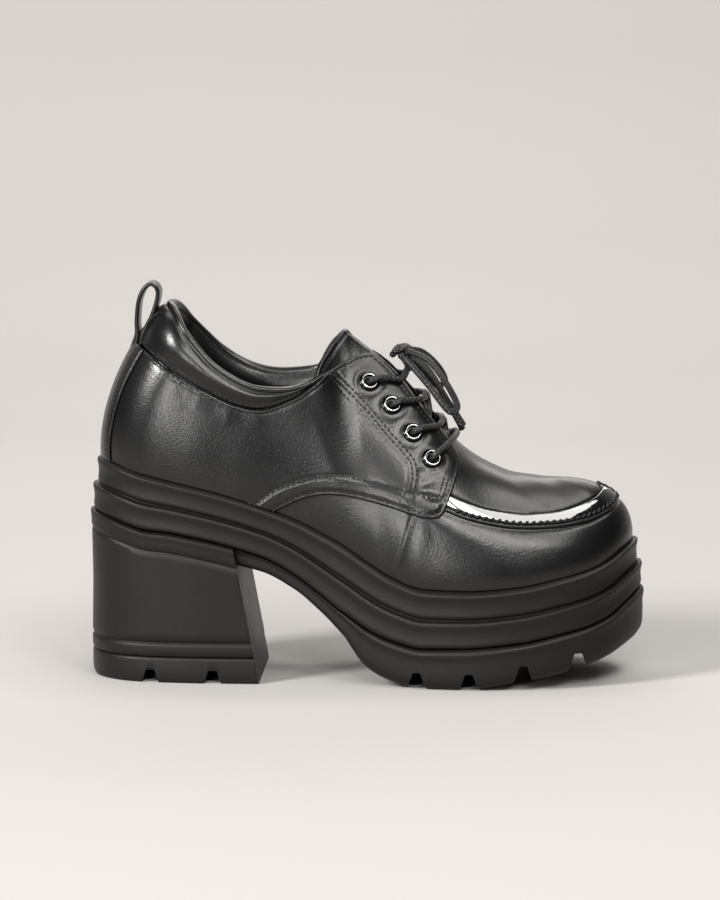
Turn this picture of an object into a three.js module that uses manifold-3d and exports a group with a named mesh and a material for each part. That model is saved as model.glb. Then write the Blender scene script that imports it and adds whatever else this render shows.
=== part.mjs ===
// A right platform shoe: millimetres, +X to the toe, +Y to the inner side of the foot, +Z up.
// The origin is on the floor, in the middle of the heel's flat bottom.
import * as THREE from "three";
import { mergeVertices } from "three/addons/utils/BufferGeometryUtils.js";
import Module from "manifold-3d";

const wasm = await Module();
wasm.setup();

// Driving sizes of the shoe
const shoeLength = 250;
const ballWidth = 92;
const heelHeight = 100;
const platformHeight = 43.5;
const toeSpring = 20.5;
const heelLength = 80;
const instepHeight = 94;
const collarHeight = 78;
const vampHeight = 45.5;

// Driving sizes of the layers
const wall = 2;
const gap = 0.3;
const quarterThickness = 1.5;
const collarThickness = 3.6;
const backstayThickness = 1.2;
const apronBandThickness = 1.1;
const seamThickness = 2.4;
const seamWidth = 2.6;
const tongueThickness = 2.6;
const insoleThickness = 3;
const weltInset = 2.2;
const bandDepth = 12.2;
const bandStep = 2;
const grooveDepth = 1.3;
const topLiftHeight = 11.6;
const heelRibHeight = 6.6;

// Driving sizes of the trim
const eyeletOuter = 9.4;
const eyeletHole = 5.8;
const eyeletHeight = 1.2;
const eyeletLift = 0.4;
const laceDiameter = 2.9;
const throatHalfWidth = 13;
const loopWidth = 15;
const backstayWidth = 32;

// Names the columns of a table, a row for each section or point
const table = (names, rows) =>
  rows.map((row) => Object.fromEntries(names.map((name, i) => [name, row[i]])));

// Smooth curve through the rows of a table, without overshoot
function curve(rows, value, along = "at") {
  const x = rows.map((row) => row[along]);
  const y = rows.map((row) => row[value]);
  const slope = x.slice(1).map((next, i) => (y[i + 1] - y[i]) / (next - x[i]));
  const lean = x.map((_, i) => {
    if (i === 0) return slope[0];
    if (i === x.length - 1) return slope[i - 1];
    if (slope[i - 1] * slope[i] <= 0) return 0;
    return (2 * slope[i - 1] * slope[i]) / (slope[i - 1] + slope[i]);
  });
  return (at) => {
    if (at <= x[0]) return y[0];
    if (at >= x[x.length - 1]) return y[y.length - 1];
    const i = x.findIndex((next) => next > at) - 1;
    const span = x[i + 1] - x[i];
    const t = (at - x[i]) / span;
    const s = 1 - t;
    return (
      y[i] * s * s * (1 + 2 * t) +
      y[i + 1] * t * t * (1 + 2 * s) +
      span * t * s * (lean[i] * s - lean[i + 1] * t)
    );
  };
}

// Side view of the sole: "at" runs from its back to its toe as a share of the length.
// rise is a share of the drop from heel to forepart, spring of the toe spring, band of the band depth,
// arch of the height of the bands' lower edge, lift of the toe spring.
const soleLine = table(
  ["at", "rise", "spring", "band", "arch", "lift"],
  [
    [0.0, 1.0, 0.0, 0.98, 0.86, 0.0],
    [0.04, 0.965, 0.0, 1.0, 0.86, 0.0],
    [0.1, 0.885, 0.0, 1.0, 0.86, 0.0],
    [0.16, 0.823, 0.0, 0.93, 0.86, 0.0],
    [0.24, 0.738, 0.0, 0.9, 0.86, 0.0],
    [0.32, 0.628, 0.0, 0.88, 0.866, 0.0],
    [0.38, 0.527, 0.0, 0.97, 0.845, 0.0],
    [0.43, 0.417, 0.0, 1.1, 0.78, 0.0],
    [0.465, 0.335, 0.0, 1.19, 0.675, 0.0],
    [0.508, 0.209, 0.0, 1.19, 0.32, 0.0],
    [0.56, 0.08, 0.0, 1.12, 0.11, 0.0],
    [0.612, 0.008, 0.0, 1.06, 0.0, 0.0],
    [0.684, 0.0, 0.0, 1.02, 0.0, 0.0],
    [0.78, 0.0, 0.09, 1.0, 0.0, 0.17],
    [0.852, 0.0, 0.26, 1.0, 0.0, 0.32],
    [0.908, 0.0, 0.42, 1.0, 0.0, 0.5],
    [0.944, 0.0, 0.595, 1.0, 0.0, 0.64],
    [0.968, 0.0, 0.78, 0.98, 0.0, 0.78],
    [1.0, 0.0, 1.0, 0.94, 0.0, 0.95],
  ],
);
const rise = curve(soleLine, "rise");
const spring = curve(soleLine, "spring");
const bandShare = curve(soleLine, "band");
const arch = curve(soleLine, "arch");
const lift = curve(soleLine, "lift");
const heelDrop = heelHeight - platformHeight;
const soleTop = (at) => platformHeight + heelDrop * rise(at) + toeSpring * spring(at);
const bandBottom = (at, bands) => soleTop(at) - bands * bandDepth * bandShare(at);
const soleUnder = (at) => bandBottom(at, 2) * arch(at) + toeSpring * lift(at);

// Sections of the last, from the middle of the heel's back to the middle of the toe.
// at is a share of the length, outer and inner of half the ball width, and tuck, which sets the foot of the
// rib further in, of the quarter's thickness. The rib of each section ends in the ankle's opening or, from
// the instep on, on the ridge: topAt is a share of the length, topOuter and topInner of half the ball width
// and topUp of the height from the toe's top to the collar's. rise and flare bend the rib at its foot, reach
// and drop at its top, all as shares of half the ball width.
const sections = table(
  ["at", "outer", "inner", "tuck", "topAt", "topOuter", "topInner", "topUp", "rise", "flare", "reach", "drop"],
  [
    [0.0172, 0, 0, 1.2, 0.178, 0, 0, 0.955, 0.62, 0.03, 0.4, 0.3],
    [0.036, 0.37, 0.36, 1.2, 0.184, 0.19, 0.19, 0.95, 0.62, 0.05, 0.34, 0.34],
    [0.088, 0.61, 0.6, 0.9, 0.202, 0.36, 0.36, 0.938, 0.6, 0.06, 0.2, 0.4],
    [0.176, 0.7, 0.68, 0.8, 0.238, 0.47, 0.47, 0.92, 0.55, 0.06, 0.06, 0.5],
    [0.264, 0.72, 0.68, 0.8, 0.283, 0.52, 0.51, 0.905, 0.5, 0.05, 0.03, 0.55],
    [0.352, 0.725, 0.63, 0.8, 0.332, 0.52, 0.5, 0.888, 0.5, 0.04, 0.05, 0.55],
    [0.424, 0.745, 0.59, 0.8, 0.376, 0.47, 0.45, 0.87, 0.5, 0.04, 0.12, 0.5],
    [0.48, 0.79, 0.6, 0.6, 0.416, 0.33, 0.32, 0.85, 0.5, 0.05, 0.24, 0.4],
    [0.536, 0.865, 0.66, 0.3, 0.45, 0, 0, 0.826, 0.5, 0.06, 0.38, 0.22],
    [0.608, 0.96, 0.82, 0, 0.49, 0, 0, 0.725, 0.48, 0.08, 0.42, 0.12],
    [0.688, 1.015, 0.94, 0, 0.57, 0, 0, 0.545, 0.46, 0.09, 0.44, 0.04],
    [0.772, 1.01, 0.97, 0, 0.657, 0, 0, 0.209, 0.44, 0.08, 0.46, 0.02],
    [0.852, 0.92, 0.925, 0, 0.736, 0, 0, 0.05, 0.42, 0.07, 0.46, 0],
    [0.92, 0.73, 0.77, 0, 0.796, 0, 0, 0.009, 0.4, 0.05, 0.45, 0],
    [0.974, 0.37, 0.44, 0, 0.832, 0, 0, 0.002, 0.38, 0.03, 0.46, 0],
    [0.9936, -0.04, 0.04, 0, 0.848, 0, 0, 0.002, 0.37, 0.02, 0.48, 0],
  ],
);
const lastSection = sections.length - 1;
const topHeight = heelHeight + collarHeight;
const halfBall = ballWidth / 2;

// Value of a column between the sections, mirrored past the heel's back and the toe's middle
function column(name, u, mirror = name, sign = 1) {
  const pick = (i) => {
    if (i < 0) return sign * sections[-i][mirror];
    if (i > lastSection) return sign * sections[2 * lastSection - i][mirror];
    return sections[i][name];
  };
  const i = Math.min(Math.floor(u), lastSection - 1);
  const t = u - i;
  const [a, b, c, d] = [pick(i - 1), pick(i), pick(i + 1), pick(i + 2)];
  return 0.5 * (2 * b + (c - a) * t + (2 * a - 5 * b + 4 * c - d) * t * t + (3 * b - a - 3 * c + d) * t * t * t);
}

// Half widths of a side: side is -1 on the outer side of the foot and 1 on the inner side
const sides = { [-1]: ["outer", "inner"], 1: ["inner", "outer"] };

function outline(side, u, out = 0) {
  const point = (v) =>
    new THREE.Vector2(
      column("at", v) * shoeLength,
      side * halfBall * column(sides[side][0], v, sides[side][1], -1),
    );
  const here = point(u);
  const step = 0.02;
  const along = point(Math.min(u + step, lastSection)).sub(point(Math.max(u - step, 0)));
  const normal = new THREE.Vector2(along.y, -along.x).multiplyScalar(-side / along.length());
  if (u === 0) normal.set(-1, 0);
  if (u === lastSection) normal.set(1, 0);
  return { x: here.x + normal.x * out, y: here.y + normal.y * out, normal };
}

const originX = heelLength / 2 + 1;
const place = (x, y, z) => new THREE.Vector3(x - originX, y, z);
const share = (x) => Math.min(Math.max(x / shoeLength, 0), 1);

// Foot of a section's rib, on the sole's top
const footInset = (u) => weltInset + column("tuck", u) * quarterThickness;

function ribFoot(side, u) {
  const { x, y, normal } = outline(side, u, -footInset(u));
  return { foot: new THREE.Vector3(x, y, soleTop(share(x)) + gap), normal };
}

// Top of a section's rib
const firstOnRidge = 8;
const onRidge = (u) => u > firstOnRidge - 0.01;
const toeTop = platformHeight + vampHeight;
const ridgeLine = (u) => toeTop + column("topUp", u) * (topHeight - toeTop);

function ribTop(side, u) {
  const names = side < 0 ? ["topOuter", "topInner"] : ["topInner", "topOuter"];
  const half = onRidge(u) ? 0 : column(names[0], u, names[1], -1);
  return new THREE.Vector3(
    column("topAt", u) * shoeLength,
    side * Math.max(half, 0) * halfBall,
    ridgeLine(u),
  );
}

// Point of the last's outside: u counts sections, t runs up the rib
function last(side, u, t) {
  const { foot, normal } = ribFoot(side, u);
  const top = ribTop(side, u);
  const out = new THREE.Vector3(normal.x, normal.y, 0);
  const first = foot
    .clone()
    .addScaledVector(out, column("flare", u) * halfBall)
    .add(new THREE.Vector3(0, 0, column("rise", u) * halfBall));
  const second = top
    .clone()
    .addScaledVector(out, column("reach", u) * halfBall)
    .add(new THREE.Vector3(0, 0, -column("drop", u) * halfBall));
  const s = 1 - t;
  return foot
    .multiplyScalar(s * s * s)
    .addScaledVector(first, 3 * s * s * t)
    .addScaledVector(second, 3 * s * t * t)
    .addScaledVector(top, t * t * t);
}

function lastNormal(side, u, t) {
  const step = 0.01;
  const [u0, u1] = [Math.max(u - step, 0), Math.min(u + step, lastSection)];
  if (t > 0.999 && onRidge(u)) {
    const along = ribTop(side, u1).sub(ribTop(side, Math.max(u0, firstOnRidge)));
    return new THREE.Vector3(-along.z, 0, along.x).normalize();
  }
  const across = last(side, u1, t).sub(last(side, u0, t));
  const up = last(side, u, Math.min(t + step, 1)).sub(last(side, u, Math.max(t - step, 0)));
  const normal = across.cross(up).multiplyScalar(-side);
  if (u === 0 || u === lastSection) normal.y = 0;
  return normal.normalize();
}

function skinPoint(side, u, t, out) {
  const p = last(side, u, t).addScaledVector(lastNormal(side, u, t), out);
  return place(p.x, p.y, p.z);
}

// Meshes and solids
function geometryOf(triangles) {
  const geometry = new THREE.BufferGeometry();
  const values = new Float32Array(triangles.flat().flatMap((p) => [p.x, p.y, p.z]));
  geometry.setAttribute("position", new THREE.BufferAttribute(values, 3));
  return geometry;
}

function solid(geometry) {
  const plain = geometry.index ? geometry.toNonIndexed() : geometry.clone();
  plain.deleteAttribute("normal");
  plain.deleteAttribute("uv");
  const merged = mergeVertices(plain, 1e-4);
  const index = merged.index.array;
  const faces = [];
  for (let i = 0; i < index.length; i += 3) {
    const [a, b, c] = [index[i], index[i + 1], index[i + 2]];
    if (a !== b && b !== c && a !== c) faces.push(a, b, c);
  }
  return new wasm.Manifold(
    new wasm.Mesh({
      numProp: 3,
      vertProperties: merged.attributes.position.array,
      triVerts: new Uint32Array(faces),
    }),
  );
}

const group = new THREE.Group();

function add(name, shape, look) {
  const mesh = shape.getMesh();
  const geometry = new THREE.BufferGeometry();
  geometry.setAttribute("position", new THREE.BufferAttribute(new Float32Array(mesh.vertProperties), 3));
  geometry.setIndex(new THREE.BufferAttribute(new Uint32Array(mesh.triVerts), 1));
  geometry.computeVertexNormals();
  const piece = new THREE.Mesh(geometry, look);
  piece.name = name;
  group.add(piece);
}

// Loop around the shoe: pairs of side and section, from the heel's back by the outer side to the toe and
// back. The straight sides take one step a section, and the rest two.
const straight = [
  [3, 7],
  [9, 11],
];
const isStraight = (u) => straight.some(([from, to]) => u >= from && u < to);
const steps = [];
for (let u = 0; u <= lastSection; u += isStraight(u) ? 1 : 0.5) steps.push(u);
const loop = [...steps.map((u) => [-1, u]), ...steps.slice(1, -1).reverse().map((u) => [1, u])];

const quad = (a, b, c, d) => [
  [a, b, c],
  [a, c, d],
];

const turned = (faces) => faces.map(([p, q, r]) => [p, r, q]);

// A closed shell between two distances from the last's outside
const ribSteps = [0, 0.14, 0.28, 0.42, 0.56, 0.7, 0.85, 1];

function skin(inside, outside) {
  const ring = (t, out) => loop.map(([side, u]) => skinPoint(side, u, t, out));
  const outer = ribSteps.map((t) => ring(t, outside));
  const inner = ribSteps.map((t) => ring(t, inside));
  const triangles = [];
  const count = loop.length;
  for (let j = 0; j < count; j++) {
    const k = (j + 1) % count;
    for (let i = 0; i < ribSteps.length - 1; i++) {
      triangles.push(...quad(outer[i][j], outer[i][k], outer[i + 1][k], outer[i + 1][j]));
      triangles.push(...turned(quad(inner[i][j], inner[i][k], inner[i + 1][k], inner[i + 1][j])));
    }
    triangles.push(...quad(inner[0][j], inner[0][k], outer[0][k], outer[0][j]));
    if (onRidge(loop[j][1]) && onRidge(loop[k][1])) continue;
    const i = ribSteps.length - 1;
    triangles.push(...quad(outer[i][j], outer[i][k], inner[i][k], inner[i][j]));
  }
  return solid(geometryOf(triangles));
}

// A solid of stacked rings around the shoe, with flat strips across at both ends
function stack(rings) {
  const triangles = [];
  const count = loop.length;
  for (let j = 0; j < count; j++) {
    const k = (j + 1) % count;
    for (let i = 0; i < rings.length - 1; i++)
      triangles.push(...quad(rings[i][j], rings[i][k], rings[i + 1][k], rings[i + 1][j]));
  }
  const cap = (ring, flip) => {
    for (let j = 0; j < count / 2; j++) {
      const a = ring[j];
      const b = ring[j + 1];
      const c = ring[(count - j - 1) % count];
      const d = ring[(count - j) % count];
      const faces = quad(a, b, c, d);
      triangles.push(...(flip ? turned(faces) : faces));
    }
  };
  cap(rings[0], true);
  cap(rings[rings.length - 1], false);
  return solid(geometryOf(triangles));
}

const ringAt = (out, height) =>
  loop.map(([side, u]) => {
    const { x, y } = outline(side, u, out);
    return place(x, y, height(share(x)));
  });

// A side view outline, pushed across the shoe from one Y to another
function prism(points, from, to) {
  const shape = new THREE.Shape(points.map(([x, z]) => new THREE.Vector2(x - originX, z)));
  const geometry = new THREE.ExtrudeGeometry(shape, { depth: to - from, bevelEnabled: false });
  geometry.rotateX(Math.PI / 2).translate(0, to, 0);
  return solid(geometry);
}

// A smooth line through side view points
function smooth(points, steps) {
  const spline = new THREE.CatmullRomCurve3(
    points.map(([x, z]) => new THREE.Vector3(x, z, 0)),
    false,
    "centripetal",
  );
  return spline.getPoints(steps).map((p) => [p.x, p.y]);
}

// Side view points from rows of at, a share of the length, and up, a share of the instep height over the
// sole's top edge
const sideLine = (rows, up = "up") =>
  rows.map((row) => [row.at * shoeLength, soleTop(row.at) + row[up] * instepHeight]);
const raised = (points, by) => points.map(([x, z]) => [x, z + by]);

const leather = new THREE.MeshStandardMaterial({ color: 0x151414, roughness: 0.45 });
const patent = new THREE.MeshStandardMaterial({ color: 0x0b0b0b, roughness: 0.08 });
const rubber = new THREE.MeshStandardMaterial({ color: 0x2b2926, roughness: 0.85 });
const lining = new THREE.MeshStandardMaterial({ color: 0x1b1a19, roughness: 0.9 });
const metal = new THREE.MeshStandardMaterial({ color: 0x0d0d0d, roughness: 0.2, metalness: 0.6 });
const waxed = new THREE.MeshStandardMaterial({ color: 0x121212, roughness: 0.5 });

// Sole
const band = (bands) => (at) => bandBottom(at, bands);
const bandProfile = table(
  ["out", "bands"],
  [
    [bandStep - grooveDepth, 1.98],
    [bandStep - 0.3, 1.86],
    [bandStep, 1.6],
    [bandStep - 0.4, 1.22],
    [-grooveDepth, 1.02],
    [-0.5, 0.9],
    [0, 0.6],
    [-0.5, 0.2],
    [0.4 - weltInset, 0],
  ],
);
const midsole = stack([
  ringAt(-weltInset - 1, (at) => bandBottom(at, 2) + gap),
  ...bandProfile.map(({ out, bands }) => ringAt(out, band(bands))),
]);
add("midsole", midsole, rubber);

// Limits of the cutting solids
const wide = 100;
const far = 400;
const behind = -20;
const below = -5;
const above = 150;

// Breast of the heel: a plane that leans forward towards the floor
const breastLean = 0.19;
const breastAt = (z) => heelLength - 0.6 - z * breastLean;

// Levels of the heel's side, from the floor up: a rib over the top lift, and a rib under the bands
const treadOut = bandStep + 1.2;
const upperRibHeight = 9;
const lowRib = (up) => () => topLiftHeight + up;
const highRib = (down) => (at) => bandBottom(at, 2) - down;
const heelBody = stack([
  ringAt(treadOut - 0.3, lowRib(gap)),
  ringAt(treadOut, lowRib(1.2)),
  ringAt(treadOut, lowRib(heelRibHeight - 1)),
  ringAt(treadOut - 0.9, lowRib(heelRibHeight)),
  ringAt(treadOut - 0.3, lowRib(heelRibHeight + 1)),
  ringAt(treadOut, highRib(upperRibHeight + 1)),
  ringAt(treadOut - 0.7, highRib(upperRibHeight)),
  ringAt(treadOut + 0.2, highRib(upperRibHeight - 1.2)),
  ringAt(treadOut + 0.2, highRib(gap + 2)),
  ringAt(bandStep - grooveDepth + 0.3, highRib(gap)),
]);
const behindBreast = prism(
  [
    [behind, below],
    [breastAt(below), below],
    [breastAt(above), above],
    [behind, above],
  ],
  -wide,
  wide,
);
add("heel_block", heelBody.intersect(behindBreast), rubber);

// Trapezoid grooves across a tread: at is a share of the length, then the widths at top and bottom
const grooveCorner = 0.9;

function groove(at, floor, depth, topWidth, bottomWidth) {
  const x = at * shoeLength;
  return prism(
    [
      [x - bottomWidth / 2, floor + below],
      [x + bottomWidth / 2, floor + below],
      [x + bottomWidth / 2, floor],
      [x + topWidth / 2 + grooveCorner / 2, floor + depth - grooveCorner],
      [x + topWidth / 2 - grooveCorner / 2, floor + depth],
      [x - topWidth / 2 + grooveCorner / 2, floor + depth],
      [x - topWidth / 2 - grooveCorner / 2, floor + depth - grooveCorner],
      [x - bottomWidth / 2, floor],
    ],
    -wide,
    wide,
  );
}

const liftCorner = 3.2;
const cornerCut = table(
  ["forward", "up"],
  [
    [0.25, 2.2],
    [0.69, 0.875],
    [1.5, 0.06],
    [1.63, -0.3],
  ],
);
let topLift = stack([
  ringAt(treadOut - 1, () => 0),
  ringAt(treadOut, () => 1),
  ringAt(treadOut, () => topLiftHeight - 1),
  ringAt(treadOut - 0.5, () => topLiftHeight),
]);
topLift = topLift.intersect(
  prism(
    [
      [breastAt(0), -liftCorner * 0.3],
      [breastAt(above), above],
      [behind, above],
      [behind, topLiftHeight],
      ...cornerCut.map(({ forward, up }) => [forward * liftCorner, up * liftCorner]),
    ],
    -wide,
    wide,
  ),
);
for (const at of [0.121, 0.234]) topLift = topLift.subtract(groove(at, 0, 5.9, 3.5, 7.2));
add("heel_top_lift", topLift, rubber);

// Forepart tread: thin and set in at the waist, deep with lugs under the ball and the toe
const treadStep = curve(
  table(
    ["at", "out"],
    [
      [0.28, -1.6],
      [0.42, -1],
      [0.5, 1.4],
      [0.56, 2.6],
      [0.8, 3],
      [1, 3],
    ],
  ),
  "out",
);
const treadRing = (inset, height) =>
  loop.map(([side, u]) => {
    const at = share(outline(side, u).x);
    const { x, y } = outline(side, u, treadStep(at) - inset);
    return place(x, y, height(share(x)));
  });
const treadTop = highRib(gap);
const between = (part) => (at) => soleUnder(at) + part * (treadTop(at) - soleUnder(at));
let outsole = stack([
  treadRing(5.5, soleUnder),
  treadRing(2.2, (at) => soleUnder(at) + 0.06 * spring(at) * (treadTop(at) - soleUnder(at))),
  treadRing(0.6, between(0.12)),
  treadRing(0, between(0.3)),
  treadRing(0, between(0.8)),
  treadRing(0.5, between(0.93)),
  treadRing(2.2, treadTop),
]);
outsole = outsole.intersect(
  prism(
    [
      [breastAt(above) + gap, above],
      [breastAt(below) + gap, below],
      [far, below],
      [far, above],
    ],
    -wide,
    wide,
  ),
);
for (const at of [0.6, 0.6935, 0.79, 0.887])
  outsole = outsole.subtract(groove(at, soleUnder(at), 7.4, 3, 8));
add("forepart_outsole", outsole, rubber);

// Insole inside the upper's foot
const insoleRing = (height) =>
  loop.map(([side, u]) => {
    const { x, y } = outline(side, u, -footInset(u) - wall - 2 * gap);
    return place(x, y, soleTop(share(x)) + height);
  });
add("insole", stack([insoleRing(gap), insoleRing(gap + insoleThickness)]), lining);

// Top edge of the collar, from the middle of the heel to the top of the facing
const topLine = table(
  ["at", "outerUp", "innerUp"],
  [
    [-0.05, 0.78, 0.78],
    [0.1, 0.81, 0.81],
    [0.15, 0.826, 0.826],
    [0.165, 0.806, 0.81],
    [0.183, 0.737, 0.75],
    [0.21, 0.664, 0.69],
    [0.235, 0.61, 0.645],
    [0.27, 0.573, 0.61],
    [0.304, 0.562, 0.603],
    [0.338, 0.581, 0.62],
    [0.373, 0.621, 0.66],
    [0.407, 0.691, 0.715],
    [0.428, 0.75, 0.765],
  ],
);
const facingTop = table(
  ["at", "up"],
  [
    [0.432, 0.762],
    [0.476, 0.889],
    [0.51, 0.967],
    [0.527, 0.972],
  ],
);
const openSky = [
  [far, far],
  [-50, far],
];
const aboveTop = (side) =>
  prism(
    [
      ...sideLine(topLine, side < 0 ? "outerUp" : "innerUp"),
      ...sideLine(facingTop),
      [0.6 * shoeLength, soleTop(0.6) + 1.3 * instepHeight],
      ...openSky,
    ],
    side < 0 ? -wide : 0,
    side < 0 ? 0 : wide,
  );
const sky = aboveTop(-1).add(aboveTop(1));

// The throat, cut down through the instep between the facings
const throatEnd = 0.648 * shoeLength;
function throat(halfWidth, end) {
  const shape = new THREE.Shape();
  const back = 0.4 * shoeLength - originX;
  const tipLength = 0.6 * halfWidth;
  const tip = end - tipLength - originX;
  shape.moveTo(back, -halfWidth);
  shape.lineTo(tip, -halfWidth);
  shape.absellipse(tip, 0, tipLength, halfWidth, -Math.PI / 2, Math.PI / 2, false, 0);
  shape.lineTo(back, halfWidth);
  const depth = collarHeight * 2;
  const geometry = new THREE.ExtrudeGeometry(shape, { depth, bevelEnabled: false, curveSegments: 12 });
  geometry.translate(0, 0, platformHeight + vampHeight / 2);
  return solid(geometry);
}

// Quarters: from the collar's seam and the facing down to the sole and over the vamp's side
const collarSeam = table(
  ["at", "up"],
  [
    [-0.05, 0.66],
    [0.04, 0.63],
    [0.102, 0.594],
    [0.168, 0.514],
    [0.217, 0.473],
    [0.272, 0.446],
    [0.322, 0.469],
    [0.373, 0.565],
    [0.407, 0.665],
    [0.427, 0.738],
  ],
);
const facingFront = table(
  ["at", "up"],
  [
    [0.527, 0.972],
    [0.544, 0.96],
    [0.561, 0.93],
    [0.592, 0.86],
    [0.62, 0.783],
    [0.656, 0.672],
    [0.671, 0.605],
    [0.6735, 0.577],
    [0.667, 0.508],
    [0.659, 0.439],
    [0.649, 0.37],
    [0.64, 0.342],
  ],
);
const quarterFoot = table(
  ["at", "up"],
  [
    [0.63, 0.337],
    [0.606, 0.339],
    [0.551, 0.33],
    [0.489, 0.269],
    [0.448, 0.215],
    [0.418, 0.168],
    [0.387, 0.103],
    [0.346, 0.005],
  ],
);
const soleEdge = [0.33, 0.28, 0.22, 0.16, 0.11, 0.07, 0.04, 0.015, -0.05].map((at) => [
  at * shoeLength,
  soleTop(Math.max(at, 0)) + 2 * gap,
]);
const quarterSide = [
  ...raised(smooth(sideLine(collarSeam), 14), -gap / 2),
  ...smooth(sideLine(facingTop), 5),
  ...smooth(sideLine(facingFront), 14).slice(1),
  ...smooth(sideLine(quarterFoot), 10),
  ...soleEdge,
];

const eyeletRow = table(
  ["at", "up"],
  [
    [0.511, 0.837],
    [0.552, 0.795],
    [0.59, 0.71],
    [0.624, 0.606],
  ],
);

// Section and height on the rib where the last shows a side view point
function findOnLast(side, x, z, start) {
  let [u, t] = start;
  for (let i = 0; i < 40; i++) {
    const step = 1e-3;
    const here = last(side, u, t);
    const du = last(side, u + step, t).sub(here).divideScalar(step);
    const dt = last(side, u, t + step).sub(here).divideScalar(step);
    const [ex, ez] = [x - here.x, z - here.z];
    const det = du.x * dt.z - du.z * dt.x;
    u += THREE.MathUtils.clamp((ex * dt.z - ez * dt.x) / det, -0.3, 0.3);
    t += THREE.MathUtils.clamp((du.x * ez - du.z * ex) / det, -0.1, 0.1);
    u = THREE.MathUtils.clamp(u, 0, lastSection - 0.01);
    t = THREE.MathUtils.clamp(t, 0, 0.99);
  }
  return [u, t];
}

const eyelets = [];
for (const side of [-1, 1])
  sideLine(eyeletRow).forEach(([x, z], i) => {
    const [u, t] = findOnLast(side, x, z, [9.5, 0.75]);
    const normal = lastNormal(side, u, t);
    const seat = skinPoint(side, u, t, gap + quarterThickness + eyeletLift);
    eyelets.push({ side, number: i + 1, u, t, seat, normal });
  });

function standing(geometry, seat, normal) {
  const turn = new THREE.Quaternion().setFromUnitVectors(new THREE.Vector3(0, 1, 0), normal);
  return geometry.applyQuaternion(turn).translate(seat.x, seat.y, seat.z);
}

const eyeletSides = 8;
const barrelOuter = eyeletHole / 2 + 0.7;
const barrelDepth = gap + quarterThickness + wall;
const drillLength = 16;

function eyeletHoles(shape) {
  for (const { seat, normal } of eyelets) {
    const hole = new THREE.CylinderGeometry(barrelOuter + gap, barrelOuter + gap, drillLength, eyeletSides);
    shape = shape.subtract(solid(standing(hole, seat, normal)));
  }
  return shape;
}

let upper = skin(-wall, 0).subtract(sky).subtract(throat(throatHalfWidth + 2, throatEnd));
upper = eyeletHoles(upper);
add("upper", upper, leather);

const quarterSkin = skin(gap, gap + quarterThickness).subtract(throat(throatHalfWidth, 0.7 * shoeLength));
for (const [name, from, to] of [
  ["quarter_outer", -wide, -gap],
  ["quarter_inner", gap, wide],
])
  add(name, eyeletHoles(quarterSkin.intersect(prism(quarterSide, from, to))), leather);

// Collar: a padded roll over the seam, as high as the upper's top edge
const collarSide = (side) => [
  ...raised(smooth(sideLine(collarSeam), 14), gap / 2).reverse(),
  ...raised(sideLine(topLine, side < 0 ? "outerUp" : "innerUp"), 0.8),
];
const collarSkin = skin(gap, collarThickness);
const collarHalf = (side) =>
  collarSkin.intersect(prism(collarSide(side), side < 0 ? -wide : 0, side < 0 ? 0 : wide));
add("collar", collarHalf(-1).add(collarHalf(1)), leather);

// Backstay up the middle of the heel, from the sole to the collar's seam
const backstayLift = gap * 2 + quarterThickness;
const backstaySide = [
  ...raised(smooth(sideLine(collarSeam), 14), -gap / 2).slice(0, 8),
  ...soleEdge.slice(3),
];
const backstay = skin(backstayLift, backstayLift + backstayThickness).intersect(
  prism(backstaySide, -backstayWidth / 2, backstayWidth / 2),
);
add("backstay", backstay, leather);

// Tongue under the throat, standing over the facings' tops
const tongueSide = table(
  ["at", "up"],
  [
    [0.416, 0.64],
    [0.428, 0.745],
    [0.45, 0.89],
    [0.467, 1.0],
    [0.478, 1.05],
    [0.7, 1.05],
    [0.7, 0.36],
    [0.64, 0.48],
    [0.56, 0.66],
    [0.5, 0.69],
    [0.44, 0.62],
  ],
);
const tongue = skin(-wall - gap - tongueThickness, -wall - gap).intersect(
  prism(sideLine(tongueSide), -wide, wide),
);
add("tongue", tongue, leather);

// Apron: a raised seam around the toe and a patent band inside it
const apronSeam = table(
  ["at", "up"],
  [
    [0.6, 0.41],
    [0.649, 0.356],
    [0.678, 0.326],
    [0.714, 0.291],
    [0.75, 0.269],
    [0.786, 0.251],
    [0.853, 0.22],
    [0.881, 0.22],
    [0.913, 0.219],
    [0.938, 0.216],
    [0.955, 0.219],
    [0.963, 0.228],
    [1.0, 0.25],
  ],
);
const apronPlug = table(
  ["at", "up"],
  [
    [0.6, 0.5],
    [0.659, 0.424],
    [0.678, 0.393],
    [0.714, 0.359],
    [0.75, 0.329],
    [0.786, 0.305],
    [0.853, 0.272],
    [0.882, 0.296],
    [0.906, 0.302],
    [0.922, 0.311],
    [0.929, 0.34],
    [0.93, 0.5],
  ],
);
const seamLow = smooth(sideLine(apronSeam), 13);
const seamHigh = raised(seamLow, seamWidth);
const plugEdge = smooth(sideLine(apronPlug), 13);
const front = (points) => prism(points, -wide, wide);
const underQuarter = prism(
  quarterSide.map(([x, z]) => [x + gap, z]),
  -wide,
  wide,
);
const seamRoll = skin(gap, seamThickness).intersect(front([...seamLow, ...[...seamHigh].reverse()]));
add("apron_seam", seamRoll.subtract(underQuarter), leather);
const bandTop = [[1.05 * shoeLength, soleTop(1) + 0.5 * instepHeight]];
const patentBand = skin(gap, gap + apronBandThickness).intersect(
  front([...raised(seamHigh, gap), ...bandTop, ...[...plugEdge].reverse()]),
);
add("apron_band", patentBand.subtract(underQuarter), patent);

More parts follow.
